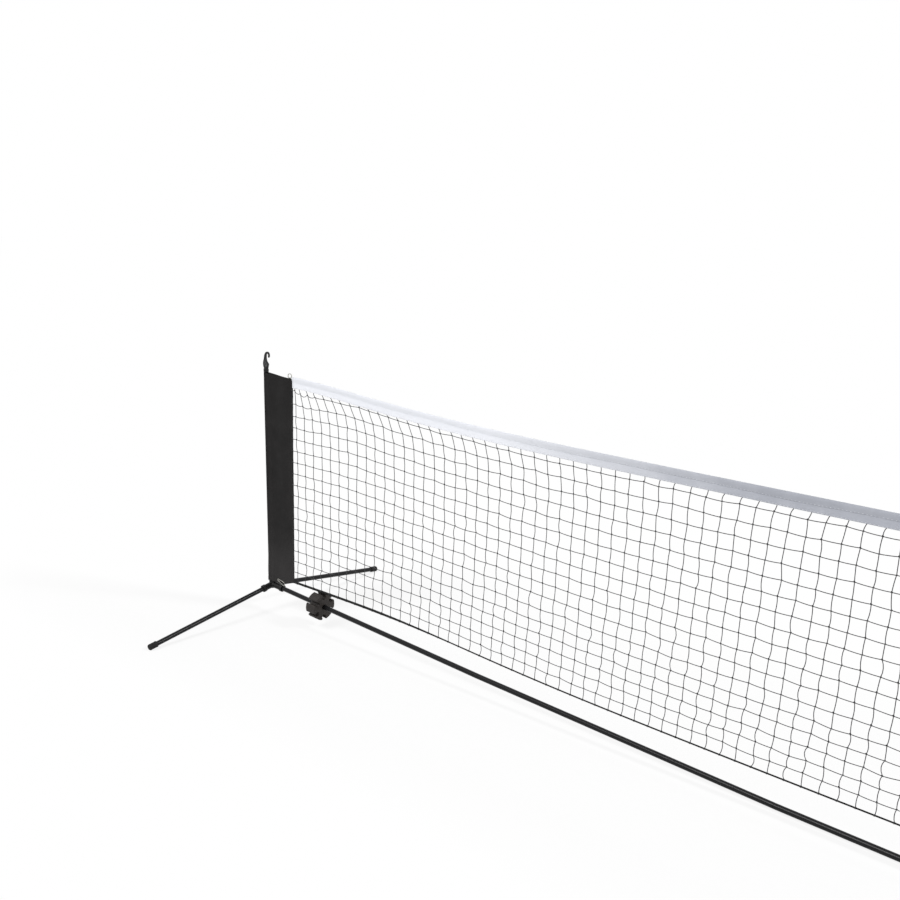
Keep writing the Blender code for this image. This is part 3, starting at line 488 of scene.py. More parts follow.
def stand_matrix(side):
    """Takes places from a stand's own frame, with X from the post axis inwards, to the net's."""
    turn = Matrix.Rotation(0.0 if side == "left" else math.pi, 4, "Z")
    return Matrix.Translation(stand_floor(side)) @ turn


def cad_points(name):
    """The corners of a CAD node."""
    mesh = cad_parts[name].data
    flat = np.empty(len(mesh.vertices) * 3, np.float32)
    mesh.vertices.foreach_get("co", flat)
    return flat.reshape(-1, 3).astype(float)


class Axis:
    """The middle line of a straight CAD tube, from its end nearest the foot of its stand."""

    def __init__(self, node_name, foot):
        points = np.unique(cad_points(node_name).round(6), axis=0)
        middle = points.mean(0)
        direction = np.linalg.svd(points - middle)[2][0]
        if (middle - np.array(foot)) @ direction < 0:
            direction = -direction
        along = (points - middle) @ direction
        self.direction = Vector(direction)
        self.start = Vector(middle + direction * along.min())
        self.length = float(along.max() - along.min())
        self.radius = float(np.linalg.norm(points - middle - np.outer(along, direction), axis=1).max())

    def reach(self, node_name):
        """Where another node on this line begins and ends, from the start."""
        along = (cad_points(node_name) - np.array(self.start)) @ np.array(self.direction)
        return float(along.min()), float(along.max())

    def placement(self):
        """Matrix that lays Z along the line."""
        turn = self.direction.to_track_quat("Z", "Y").to_matrix().to_4x4()
        return Matrix.Translation(self.start) @ turn


WELD = 0.00002              # corners of a mesh nearer than this are one


def lathe(outline, placement, sides, hollow=False):
    """Turned piece about its own Z from (radius, height) points. A hollow one joins them to a ring."""
    outline = outline + outline[:1] if hollow else outline
    turns = round_turn(sides)
    points = [
        (radius * math.cos(turn), radius * math.sin(turn), height)
        for radius, height in outline for turn in turns
    ]
    mesh = mesh_of(points, grid_faces(len(outline), sides, wrap=True))
    work = bmesh.new()
    work.from_mesh(mesh)
    bmesh.ops.remove_doubles(work, verts=work.verts, dist=WELD)
    bmesh.ops.recalc_face_normals(work, faces=work.faces)
    work.to_mesh(mesh)
    work.free()
    mesh.transform(placement)
    return smooth(mesh)


# Steel tubes
TUBES = ("front_leg", "rear_leg", "lower_post", "upper_post", "bar_outer", "bar_middle", "bar_inner")
WALL = 0.0008
RIM = 0.0003
PLUG_LENGTH = 0.02
PLUG_PLAY = 0.00055


def tube_outline(radius, length):
    """Open tube with its rims broken."""
    bore = radius - WALL
    return [
        (radius - RIM, length), (radius, length - RIM), (radius, RIM), (radius - RIM, 0.0),
        (bore + RIM, 0.0), (bore, RIM), (bore, length - RIM), (bore + RIM, length),
    ]


def plug_outline(radius, length):
    """Tube whose far end is swaged down to a plug for the next tube."""
    bore = radius - WALL
    plug = bore - PLUG_PLAY
    shoulder = length - PLUG_LENGTH
    return [
        (plug - 2 * RIM, length), (plug, length - 4 * RIM), (plug, shoulder + RIM),
        (plug + RIM, shoulder), (radius - RIM, shoulder), (radius, shoulder - RIM),
        (radius, RIM), (radius - RIM, 0.0), (bore + RIM, 0.0), (bore, RIM),
        (bore, shoulder - PLUG_LENGTH / 10), (plug - WALL, shoulder), (plug - WALL, length),
    ]


def build_tubes(sizes):
    """Legs, posts and ground bar in powder-coated steel."""
    for side in SIDES:
        for part in TUBES:
            name = f"{side}_{part}"
            axis = Axis(name, stand_floor(side))
            plugged = part.startswith("bar") and name != "right_bar_inner"
            outline = (plug_outline if plugged else tube_outline)(axis.radius, axis.length)
            mesh = lathe(outline, axis.placement(), sizes.tube_sides, hollow=True)
            body = f"{side}_lift" if part == "upper_post" else "frame"
            show(name + "_tube", mesh, "powder_coated_steel", body, [name])


# Leg caps
CAP_RADIUS = 0.01025
CAP_PLAY = 0.0002           # round the leg tube and past its end
CAP_GROOVES = 4
CAP_GROOVE_PITCH = 0.0032
CAP_GROOVES_FROM = 0.004    # below the rounded end
CAP_GROOVE = 0.0005
CAP_ROUND = 0.0035
# The bead at the cap's mouth: height above it, and how far it stands out as a share of a groove
CAP_BEAD = ((0.0036, 0.0), (0.0031, 0.8), (0.0022, 1.0), (0.0012, 0.8), (0.0004, 0.0), (0.0, -1.0))


def cap_outline(bore, low, high, floor):
    """Rubber cap with a beaded mouth, grooves and a rounded end."""
    outline = [(0.0, high)]
    for degrees in range(90, -1, -15):
        turn = math.radians(degrees)
        outline.append((
            CAP_RADIUS - CAP_ROUND + CAP_ROUND * math.cos(turn),
            high - CAP_ROUND + CAP_ROUND * math.sin(turn),
        ))
    for groove in range(CAP_GROOVES):
        top = high - CAP_ROUND - CAP_GROOVES_FROM - groove * CAP_GROOVE_PITCH
        outline += [
            (CAP_RADIUS, top), (CAP_RADIUS - CAP_GROOVE, top - CAP_GROOVE),
            (CAP_RADIUS - CAP_GROOVE, top - 2 * CAP_GROOVE), (CAP_RADIUS, top - 3 * CAP_GROOVE),
        ]
    outline += [(CAP_RADIUS + CAP_GROOVE * out, low + up) for up, out in CAP_BEAD]
    return outline + [(bore, low), (bore, floor), (0.0, floor)]


def build_caps(sizes):
    """Rubber caps on the legs, flattened where they meet the floor."""
    for side in SIDES:
        for end in ("front", "rear"):
            axis = Axis(f"{side}_{end}_leg", stand_floor(side))
            name = f"{side}_{end}_leg_cap"
            outline = cap_outline(axis.radius + CAP_PLAY, *axis.reach(name), axis.length + CAP_PLAY)
            mesh = lathe(outline, axis.placement(), sizes.tube_sides)
            for vertex in mesh.vertices:
                vertex.co.z = max(vertex.co.z, 0.0)
            show(name + "_rubber", mesh, "cured_rubber", "frame", [name])


KEPT_FACES = 0.4            # share of a moulding's faces that stay once it is softened


def moulded_copy(node_name, voxel, rounds, ribs=()):
    """A moulding's softened skin: sharp CAD edges and joints turn into small radii."""
    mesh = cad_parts[node_name].data.copy()
    work = bmesh.new()
    work.from_mesh(mesh)
    bmesh.ops.remove_doubles(work, verts=work.verts, dist=WELD)
    for points, faces in ribs:
        corners = [work.verts.new(point) for point in points]
        for face in faces:
            work.faces.new([corners[i] for i in face])
    bmesh.ops.recalc_face_normals(work, faces=work.faces)
    work.to_mesh(mesh)
    work.free()
    helper = bpy.data.objects.new("helper", mesh)
    bpy.context.scene.collection.objects.link(helper)
    for kind, settings in (
        ("REMESH", {"mode": "VOXEL", "voxel_size": voxel, "use_smooth_shade": True}),
        ("SMOOTH", {"factor": 0.5, "iterations": rounds}),
        ("DECIMATE", {"ratio": KEPT_FACES}),
    ):
        modifier = helper.modifiers.new(kind.title(), kind)
        for name, value in settings.items():
            setattr(modifier, name, value)
    bpy.context.view_layer.update()
    graph = bpy.context.evaluated_depsgraph_get()
    mesh = bpy.data.meshes.new_from_object(helper.evaluated_get(graph))
    bpy.data.objects.remove(helper, do_unlink=True)
    mesh.shade_smooth()
    return mesh


# Ribs across the hook's recessed web: pairs of (inwards, up from the post tube's end) points
HOOK_RIBS = (
    ((-0.0086, 0.0205), (0.0052, 0.0322)), ((0.0084, 0.0232), (-0.0088, 0.0350)),
    ((-0.0092, 0.0300), (0.0016, 0.0430)), ((0.0030, 0.0340), (-0.0056, 0.0430)),
)
HOOK_RIB_OFF = 0.0015       # from the hook's middle plane
HOOK_RIB_R = 0.0008
WEB_HALF = 0.0019           # the web's faces lie nearer than this to the middle plane
WEB_FACING = 0.6            # and face this much to the front or rear
# Moulding: voxel and rounds of smoothing, material, body and slot
MOULDINGS = {
    "hub": (0.0008, 8, "moulded_nylon", "frame", "moulded_nylon"),
    "hook": (0.0004, 3, "moulded_nylon", "{}_hook_turn", "moulded_nylon"),
    "tube_clip": (0.0009, 5, "foamed_plastic", "{}_clip", "clip_plastic"),
}


def hook_ribs(side):
    """Crossing ribs on both faces of a hook's web."""
    inwards = 1.0 if side == "left" else -1.0
    post = stand_floor(side).x
    ribs = []
    for face in FACES:
        for ends in HOOK_RIBS:
            path = [(post + inwards * x, face * HOOK_RIB_OFF, POST_TOP_Z + z) for x, z in ends]
            ribs.append(sweep(path, HOOK_RIB_R, 6))
    return ribs


def build_mouldings():
    """Hubs and hooks in moulded nylon, tube clips in foamed plastic, guides in natural nylon."""
    for side in SIDES:
        for part, (voxel, rounds, material, body, slot) in MOULDINGS.items():
            name = f"{side}_{part}"
            mesh = moulded_copy(name, voxel, rounds, hook_ribs(side) if part == "hook" else ())
            if part == "hook":
                # Marks the hooks' webs, where their finish paints a sheen.
                mark(mesh, RECESS, [
                    float(abs(v.co.y) < WEB_HALF and abs(v.normal.y) > WEB_FACING and v.co.z > POST_TOP_Z)
                    for v in mesh.vertices
                ])
            show(name + "_moulding", mesh, material, body.format(side), [name])
    for side in SIDES:
        dress(f"{side}_mouth_liner", "natural_nylon")
        dress(f"{side}_foot_bush", "natural_nylon")


def sag_share(x, keen):
    """0 at the sleeves, 1 in the middle: the share of the sag reached at a place."""
    reach = HALF_SPACING - SLEEVE_TOP_WIDTH
    way = np.clip((reach - np.abs(x)) / reach, 0.0, 1.0)
    return 1.0 - (1.0 - way) ** keen * (1.0 + keen * way)


def bell(distance, width):
    """Smooth rise to 1 where a distance is 0."""
    return np.exp(-((distance / width) ** 2))


def from_post(x):
    """Distance along the net from the nearer post."""
    return HALF_SPACING - np.abs(x)


def row_height(x, row):
    """Height of a row of knots. Row -1 is hidden in the tape and the last one is the cord."""
    depth = (row + 1.0) / (ROWS + 1.0)
    level = ROW_TOP_Z + (FOOT_CORD_Z - ROW_TOP_Z) * depth
    keen = NET_KEEN + (TAPE_KEEN - NET_KEEN) * np.exp(-depth / KEEN_DEPTH)
    sag = TAPE_SAG + (NET_SAG - TAPE_SAG) * np.minimum(depth / NET_SAG_DEPTH, 1.0)
    sag = sag + (FOOT_SAG - NET_SAG) * np.maximum(depth - FOOT_SAG_DEPTH, 0.0) / (1.0 - FOOT_SAG_DEPTH)
    lift = FOOT_LIFT * bell(from_post(x) - FOOT_LIFT_AT, FOOT_LIFT_WIDTH) * depth ** FOOT_LIFT_FADE
    slack = bell(depth - SLACK_DEPTH, SLACK_SPREAD) * (1.0 - np.exp(-depth / SLACK_FROM_TAPE))
    slack = slack * (1.0 - depth ** 2) * SLACK_RISE * bell(from_post(x) - SLACK_AT, SLACK_WIDTH)
    return level - sag * sag_share(x, keen) + lift + slack


def tape_top(x):
    """Height of the headband's top edge."""
    return TAPE_TOP_Z - TAPE_SAG * sag_share(x, TAPE_KEEN)


def sleeve_width(z):
    """Post axis to the sleeve's inner edge at a height."""
    share = min(max((z - SLEEVE_FOOT_Z) / SLEEVE_HEIGHT, 0.0), 1.0)
    return SLEEVE_FOOT_WIDTH + (SLEEVE_TOP_WIDTH - SLEEVE_FOOT_WIDTH) * share


# How the net hangs: the tape draws the strands back to the sleeves, and the rows lean over
TOP_PULL = 0.038            # at the first row of knots, beside the sleeve
TOP_PULL_EASE = 0.00138     # less with each strand
TOP_PULL_START = 3.5        # strands over which it sets in
TOP_PULL_FIRST = 4.0        # how fast it comes in after the first strand, which it leaves alone
TOP_PULL_FADE = 1.05        # how fast it fades from row to row
TOP_PULL_MOST = 2.0         # and how much it may grow inside the tape
LEAN = (0.0052, 0.0090, -0.0223, 0.0050, -0.0255)  # even, with depth, its square, along, and both
LEAN_STRANDS = 39.0
EVEN_FROM, EVEN_TO = 40.0, 62.0  # strands between which the net comes to hang straight
CORNER_RISE = 0.0095        # the first knots under the tape are drawn up beside the sleeves
CORNER_WIDTH, CORNER_DEPTH = 1.0, 1.0  # meshes over which that fades
KNOT_SEED, BOW_SEED = 11, 23


def strand_shift(column, row):
    """How far a knot lies from its even place, towards the middle of the net."""
    last = COLUMNS - 1.0
    from_end = np.minimum(column, last - column)
    side = np.where(column < last / 2, 1.0, -1.0)
    depth = (row + 1.0) / (ROWS + 1.0)
    along = np.minimum(from_end / LEAN_STRANDS, 1.0)
    even, deep, deeper, far, both = LEAN
    lean = even + deep * depth + deeper * depth ** 2 + (far + both * depth) * along
    top = TOP_PULL_EASE * LEAN_STRANDS * along - TOP_PULL
    top = top * (1.0 - np.exp(-(from_end + 0.5) / TOP_PULL_START))
    top = top * (1.0 - np.exp(-TOP_PULL_FIRST * from_end))
    share = np.minimum(np.exp(-TOP_PULL_FADE * row), TOP_PULL_MOST)
    calm = np.clip((EVEN_TO - from_end) / (EVEN_TO - EVEN_FROM), 0.0, 1.0)
    calm = calm * calm * (3.0 - 2.0 * calm)
    return side * calm * (lean * (1.0 - np.minimum(share, 1.0)) + share * top)


def knot_grid(uneven):
    """Places of all knots as an array by column and row, from row -1 in the tape to the cord."""
    spacing = 2 * (HALF_SPACING - COLUMN_START) / (COLUMNS - 1)
    column = np.arange(COLUMNS, dtype=float)[:, None]
    row = np.arange(-1.0, ROWS + 1.0)[None, :]
    x = -HALF_SPACING + COLUMN_START + spacing * column + strand_shift(column, row)
    z = row_height(x, row)
    wander = np.random.default_rng(KNOT_SEED)
    loose = np.clip(np.minimum(row + 1.0, ROWS - row), 0.0, 1.0)
    from_end = np.minimum(column, COLUMNS - 1.0 - column)
    z = z + CORNER_RISE * np.exp(-from_end / CORNER_WIDTH - row / CORNER_DEPTH) * (row >= 0)
    x = x + wander.normal(0.0, uneven, x.shape) * loose
    z = z + wander.normal(0.0, uneven, x.shape) * loose
    y = wander.normal(0.0, uneven / 3, x.shape) * loose
    return np.stack([x, y, z], -1)


# Twine and knots
TWINE_SIDES = 5
TWINE_STEPS = 4             # points from knot to knot
TWINE_APART = 0.8           # rows pass this many radii before the knots' middles, strands behind
KNOT_TURN = 7               # points in the turn of a knot
KNOT_BITE = 0.45            # the middle of the turn lies this many twines inside the knot's width
KNOT_FLAT = 0.75            # its depth as a share of its width
KNOT_TWINE = 0.62           # its radius in twines
KNOT_LEAN = 0.5             # its rise to one side as a share of its width
KNOT_TWIST = 0.6            # and where it is highest, in radians from that side
STRAND_TOP = 0.56           # depth in the tape where the upright strands end, as a share of its height
STRAND_BOW = 0.0012         # at the top, and twice as much at the foot
ROW_SLACK = 0.0007          # how far each row sags between its knots
ROW_TUCK = 0.0035           # how far the rows reach into the sleeves' edges
SCALLOP = 0.008             # the top rows hang in scallops beside the sleeves
SCALLOP_AT, SCALLOP_WIDTH = 2.0, 1.4  # meshes from the sleeve


def between(points, offset):
    """Adds points between each two, on a parabola that bulges by an offset."""
    share = (np.arange(TWINE_STEPS) / TWINE_STEPS)[None, :, None]
    line = points[:-1, None] * (1.0 - share) + points[1:, None] * share
    line = line + 4.0 * share * (1.0 - share) * offset[:, None]
    return np.concatenate([line.reshape(-1, 3), points[-1:]])


def tape_entry(top, first):
    """Where a strand ends inside the tape, and where it leaves the tape's lower edge."""
    places = []
    for depth in (STRAND_TOP, 1.0):
        away, down = tape_waves(float(top[0]), depth)
        z = float(tape_top(top[0])) - depth * TAPE_HEIGHT - down
        share = (top[2] - z) / (top[2] - first[2])
        places.append((top[0] + (first[0] - top[0]) * share, away, z))
    return np.array(places)


def knot(place, width, twine, lean):
    """A knot: one turn of twine wrapped aslant round the crossing."""
    turns = round_turn(KNOT_TURN)
    ring = width / 2 - twine * KNOT_BITE
    path = np.stack([
        ring * np.cos(turns), ring * KNOT_FLAT * np.sin(turns), ring * lean * np.cos(turns + KNOT_TWIST),
    ], -1)
    return sweep(path + place, twine * KNOT_TWINE, TWINE_SIDES, side=(0.0, 0.0, 1.0), closed=True)


def build_net(sizes):
    """The knotted net: upright strands, rows and knots."""
    knots = knot_grid(sizes.uneven)
    radius = sizes.twine / 2
    wander = np.random.default_rng(BOW_SEED)
    strands = []
    for column in range(COLUMNS):
        line = knots[column].copy()
        line[:, 1] += radius * TWINE_APART
        line = np.concatenate([tape_entry(line[0], line[1]), line[1:]])
        bow = np.zeros((len(line) - 1, 3))
        free = len(line) - 2
        bow[1:, 0] = wander.normal(0.0, STRAND_BOW, free) * np.linspace(1.0, 2.0, free)
        strands.append(sweep(between(line, bow), radius, TWINE_SIDES))
    for row in range(ROWS):
        line = knots[:, row + 1].copy()
        ends = [
            [sign * (HALF_SPACING - sleeve_width(near[2]) + ROW_TUCK), 0.0, near[2]]
            for sign, near in ((-1.0, line[0]), (1.0, line[-1]))
        ]
        line = np.concatenate([ends[:1], line, ends[1:]])
        line[:, 1] -= radius * TWINE_APART
        meshes = np.arange(len(line) - 1)
        from_end = np.minimum(meshes, meshes[::-1])
        slack = np.zeros((len(line) - 1, 3))
        slack[:, 2] = -ROW_SLACK - SCALLOP * bell(from_end - SCALLOP_AT, SCALLOP_WIDTH) * 0.5 ** row
        strands.append(sweep(between(line, slack), radius, TWINE_SIDES))
    turns = []
    for column in range(COLUMNS):
        for row in range(ROWS):
            lean = KNOT_LEAN if (column + row) % 2 else -KNOT_LEAN
            turns.append(knot(knots[column, row + 1], sizes.knot, sizes.twine, lean))
    for name, parts, replaced in (("net_twine", strands, ["net_mesh"]), ("net_knots", turns, [])):
        piece = show(name, mesh_of(*gather(parts)), "twisted_twine", "left_lift", replaced)
        piece.data.shade_smooth()


# Bottom cord: distance from the post and radius. It is thicker by the sleeves.
CORD_RADII = ((0.54, 0.0040), (0.86, 0.0021))
CORD_STATIONS, CORD_SIDES = 421, 12
# The net's two loops round it at each strand
LOOP_POINTS = 12
LOOP_APART = 0.0008         # from the strand to either loop
LOOP_SLANT = 0.0005         # how far a loop leans along the cord
LOOP_OFF, LOOP_TWINE = 0.1, 0.36  # off the cord, and the loop's radius, as shares of the twine


def cord_radius(x):
    """Radius of the bottom cord at a place along the net."""
    return np.interp(from_post(x), *zip(*CORD_RADII))


def build_bottom_cord(sizes):
    """Braided cord along the foot of the net, with the net's loops round it."""
    end = HALF_SPACING - sleeve_width(FOOT_CORD_Z) - GAP
    x = np.linspace(-end, end, CORD_STATIONS)
    path = np.stack([x, np.zeros_like(x), row_height(x, float(ROWS))], -1)
    mesh = mesh_of(*sweep(path, cord_radius(x), CORD_SIDES))
    show("bottom_cord_braid", mesh, "braided_polypropylene", "left_lift", ["bottom_cord"])
    loops = []
    turns = round_turn(LOOP_POINTS)
    for place in knot_grid(sizes.uneven)[:, -1]:
        ring = float(cord_radius(place[0])) + sizes.twine * LOOP_OFF
        for shift in (-LOOP_APART, LOOP_APART):
            path = np.stack([
                shift + LOOP_SLANT * np.cos(turns), ring * np.sin(turns), ring * np.cos(turns),
            ], -1)
            side = (1.0, 0.0, 0.0)
            loops.append(sweep(path + place, sizes.twine * LOOP_TWINE, TWINE_SIDES, side, closed=True))
    show("bottom_cord_lashing", mesh_of(*gather(loops)), "twisted_twine", "left_lift")


# Headband: depth below the top edge as a share of the height, and half thickness in metres
TAPE_SECTION = (
    (0.000, 0.0000), (0.008, 0.0013), (0.030, 0.0024), (0.075, 0.0033), (0.130, 0.0036),
    (0.210, 0.0034), (0.300, 0.0028), (0.380, 0.0022), (0.430, 0.0020), (0.448, 0.0019),
    (0.456, 0.0010), (0.475, 0.0009), (0.500, 0.0013), (0.560, 0.0019), (0.660, 0.0023),
    (0.780, 0.0023), (0.900, 0.0021), (0.960, 0.0019), (1.000, 0.0017),
)
TAPE_STATIONS = 441
TAPE_SEAMS = (0.425, 0.93)  # under the cord inside, and along the lower edge
# Depth, and how pale the cloth is painted: a painted highlight along its top edge, painted shade at the
# seam, and painted light shining through the one layer below it
TAPE_PAINTED_LIGHT = ((0.0, 0.45), (0.1, 0.4), (0.26, 0.05), (0.46, 0.0), (0.7, 1.0))
TAPE_PUCKER = 0.14          # how much the thickness swells and shrinks along the tape
TAPE_TUCK = 0.03            # the tape is pressed flat over this much beside a sleeve
TAPE_TUCKED = 0.35          # to this share of its thickness
TAPE_CORD_TO = 0.22         # depth that the cord inside fills, as a share of the height
CORD_TUCKED = 0.78          # and the share of the thickness that it leaves there
# Soft waves: the whole tape sideways, its middle sideways, its seam down and its lower edge down
SWAY, FLUTTER, SEAM_DIP, EDGE_DIP = 0.0011, 0.0006, 0.0034, 0.0009
SEAM_DIP_WIDTH = 0.2
# How many times a metre the sway, the flutter, the seam's dips and the puckers change
SWAYS, FLUTTERS, SEAM_DIPS, PUCKERS = 5.0, 21.0, 4.5, 60.0


def tape_waves(x, depth):
    """Soft waves of the tape: (sideways, down) at a place and a depth share."""
    slow = noise.noise(Vector((x * SWAYS, 1.7, 0.0)))
    quick = noise.noise(Vector((x * FLUTTERS, 7.1, depth * 2.0)))
    away = SWAY * slow * depth + FLUTTER * quick * math.sin(math.pi * depth)
    seam = math.exp(-(((depth - TAPE_SEAMS[0]) / SEAM_DIP_WIDTH) ** 2))
    down = seam * SEAM_DIP * noise.noise(Vector((x * SEAM_DIPS, 3.3, 5.0))) + depth * EDGE_DIP * slow
    return away, down


def tape_point(x, depth, face):
    """A point on the tape's outer face, front (-1) or back (1)."""
    half = float(np.interp(depth, *zip(*TAPE_SECTION)))
    pucker = 1.0 + TAPE_PUCKER * noise.noise(Vector((x * PUCKERS, face * 3.0, 2.0)))
    from_sleeve = HALF_SPACING - SLEEVE_TOP_WIDTH - abs(x)
    below = min(max((depth - TAPE_CORD_TO) / TAPE_CORD_TO, 0.0), 1.0)
    pressed = CORD_TUCKED + (TAPE_TUCKED - CORD_TUCKED) * below
    half *= pressed + (1.0 - pressed) * min(from_sleeve / TAPE_TUCK, 1.0)
    away, down = tape_waves(x, depth)
    return (x, face * half * pucker + away, float(tape_top(x)) - depth * TAPE_HEIGHT - down)


THREAD = 0.0006             # diameter of a stitch
SHOULDER = 0.3              # from its middle to where it is thickest, as a share of its length
STITCH_OUT = 0.00015        # how far a stitch stands out of the sleeve
TAPE_STITCH_OUT = 0.0001    # and out of the tape
TAPE_STITCH = 1.6           # the tape's stitches are this many times as long as the sleeve's
STITCH_AIM = 0.002          # a stitch points at the seam's place this far on


def stitch(place, along, length):
    """One stitch: a small double-ended bead of thread."""
    along = np.asarray(along, float) / np.linalg.norm(along)
    side = np.array([0.0, 1.0, 0.0])
    up = np.cross(along, side)
    points = [place - along * length / 2]
    for shift in (-SHOULDER, SHOULDER):
        for turn in range(4):
            angle = math.pi / 4 + math.pi / 2 * turn
            out = (side * math.cos(angle) + up * math.sin(angle)) * THREAD / 2
            points.append(place + along * length * shift + out)
    points.append(place + along * length / 2)
    faces = [(0, 1 + (i + 1) % 4, 1 + i) for i in range(4)]
    faces += [(1 + i, 1 + (i + 1) % 4, 5 + (i + 1) % 4, 5 + i) for i in range(4)]
    faces += [(5 + i, 5 + (i + 1) % 4, 9) for i in range(4)]
    return points, faces


def thicken(piece, thickness):
    """Gives a sheet of cloth its thickness, inwards from its outer face."""
    modifier = piece.modifiers.new("Thickness", "SOLIDIFY")
    modifier.thickness = thickness
    modifier.offset = -1.0


def build_headband(sizes):
    """The folded tape, stitched under its cord and along its lower edge."""
    end = HALF_SPACING - SLEEVE_TOP_WIDTH - GAP
    depths = [depth for depth, half in TAPE_SECTION]
    points = []
    for x in np.linspace(-end, end, TAPE_STATIONS):
        points += [tape_point(x, depth, -1.0) for depth in depths[::-1]]
        points += [tape_point(x, depth, 1.0) for depth in depths[1:]]
    mesh = mesh_of(points, grid_faces(TAPE_STATIONS, 2 * len(depths) - 1))
    # Painted light and shade on the tape, by depth.
    paler = [float(np.interp(depth, *zip(*TAPE_PAINTED_LIGHT))) for depth in depths[::-1] + depths[1:]]
    mark(mesh, PAINTED_LIGHT, paler * TAPE_STATIONS)
    tape = show("headband_cloth", mesh, "polyester_tape", "left_lift", ["headband_tape"])
    thicken(tape, sizes.tape)
    stitches = []
    count = int(2 * end / (2 * sizes.stitch_pitch))
    for index in range(count):
        x = -end + (index + 0.5) * 2 * end / count
        for depth in TAPE_SEAMS:
            for face in FACES:
                place = np.array(tape_point(x, depth, face))
                ahead = np.array(tape_point(x + STITCH_AIM, depth, face)) - place
                place[1] += face * TAPE_STITCH_OUT
                stitches.append(stitch(place, ahead, sizes.stitch * TAPE_STITCH))
    mesh = mesh_of(*gather(stitches))
    seam = show("headband_stitching", mesh, "white_sewing_thread", "left_lift")
    dress("top_cord", "braided_cotton")


# Sleeve: height and inner radius of the pocket round the post
POCKET = (
    (0.0965, 0.0143), (0.1480, 0.0138), (0.1980, 0.0120), (0.8040, 0.0084), (0.8695, 0.00725),
)
POCKET_OFF = 0.0009         # from there to the cloth's outer face
POCKET_WRAP = math.radians(60.0)  # from straight inwards to where the pocket's round begins
POCKET_STEPS = 12           # points in half of its round
TAPER_END = 0.07            # where the two faces have come together
TAPER_STEPS = 9
FLAT_HALF = 0.0020          # half the sleeve's thickness there
HEM = 0.012
HEM_STEP = 0.0004           # how much further out the cloth lies at a hem
HEM_SEAM = 0.010            # from either end of the sleeve
POCKET_SEAM = 0.024         # from the post axis
SEAM_FROM_EDGE = 0.009
SEAM_PINCH, SEAM_WIDTH = 0.0006, 0.0022  # the groove that the edge's seam draws in
EDGE_WAVE, EDGE_WAVES = 0.0009, 0.04  # depth and length of the scallops in the inner edge
TOP_FALL = 0.0075           # slant of the top
FOOT_RISE, FOOT_CURVE = 0.0155, 2.5  # the foot rises towards the net, ever more steeply
HEM_LEVELS = (0.0, 0.003, 0.007, 0.010, 0.0115, 0.0125, 0.016, 0.022)  # from either end to rings
MIDDLE_LEVELS = 72
EDGE_POINTS = (0.0006, 0.003, 0.006, SEAM_FROM_EDGE, 0.012)  # from the inner edge to points
FLAT_FROM, FLAT_POINTS = 0.018, 7  # and from there to the first of the even ones, and their count
SLEEVE_PHASES = {"left": 0.4, "right": 2.3}  # where each sleeve's folds begin
FOLDS_FROM, FOLDS_OVER = 0.02, 0.05  # from the post axis to where folds begin, and on to full depth
FOLD_WIDTH = 0.052
FOLD_SHIFT, FOLD_SHIFTS = 1.1, 5.0  # how far a fold strays sideways, and how often on its way up
FOLD_EVEN, FOLD_LOOSE = 0.6, 1.1  # shares of the even folds and of the uneven ones
LOOSE_ACROSS, LOOSE_UP = 16.0, 3.2  # uneven folds in a metre
SEAM_END = 0.012            # from the post axis to where the hems' stitches begin
SEAM_STOP = 0.004           # and from the inner edge to where they stop
AIM_SHARE = 0.004           # an upright stitch points at its seam's place this share higher


def sleeve_levels():
    """Shares of the sleeve's height where it has a ring of points, closer at its hems."""
    low = [level / SLEEVE_HEIGHT for level in HEM_LEVELS]
    middle = list(np.linspace(low[-1], 1.0 - low[-1], MIDDLE_LEVELS))
    return low[:-1] + middle + [1.0 - share for share in low[:-1][::-1]]


def sleeve_fold(x, z, phase):
    """How far the flat part of the sleeve swings to the rear at a place."""
    free = np.clip((x - FOLDS_FROM) / FOLDS_OVER, 0.0, 1.0)
    wave = math.sin(x / FOLD_WIDTH * math.pi + FOLD_SHIFT * math.sin(z * FOLD_SHIFTS + phase) + phase)
    loose = noise.noise(Vector((x * LOOSE_ACROSS, z * LOOSE_UP, phase)))
    return float(free) * (FOLD_EVEN * wave + FOLD_LOOSE * loose)


def level_at(share):
    """Height above the floor at a share of the sleeve's height."""
    return SLEEVE_FOOT_Z + SLEEVE_HEIGHT * share


def pocket_radius(level):
    """Radius of the cloth round the post at a height."""
    return float(np.interp(level, *zip(*POCKET))) + POCKET_OFF


def hem_step(share):
    """How much thicker the sleeve is at a share of its height, because of its hems."""
    return HEM_STEP if min(share, 1.0 - share) * SLEEVE_HEIGHT < HEM else 0.0


def sleeve_half(x, level, share):
    """Half thickness of the sleeve at a distance from the post axis, on its height."""
    radius = pocket_radius(level)
    start_x = radius * math.cos(POCKET_WRAP)
    start_y = radius * math.sin(POCKET_WRAP)
    t = min(max((x - start_x) / (TAPER_END - start_x), 0.0), 1.0)
    half = start_y + (FLAT_HALF - start_y) * t * t * (3.0 - 2.0 * t)
    from_seam = x - (sleeve_width(level) - SEAM_FROM_EDGE)
    half -= SEAM_PINCH * math.exp(-((from_seam / SEAM_WIDTH) ** 2))
    return half + hem_step(share)


def sleeve_height(x, share):
    """The slanting foot and top of the sleeve, taken up towards its middle."""
    inward = max(x, 0.0)
    foot = SLEEVE_FOOT_Z + FOOT_RISE * (inward / SLEEVE_FOOT_WIDTH) ** FOOT_CURVE
    top = SLEEVE_TOP_Z - TOP_FALL * inward / SLEEVE_TOP_WIDTH
    return foot + (top - foot) * share


def sleeve_point(x, share, face, phase, fold):
    """A point on the front (-1) or rear (1) face beside the pocket, in the stand's frame."""
    level = level_at(share)
    y = face * sleeve_half(x, level, share) + fold * sleeve_fold(x, level, phase)
    return (x, y, sleeve_height(x, share))


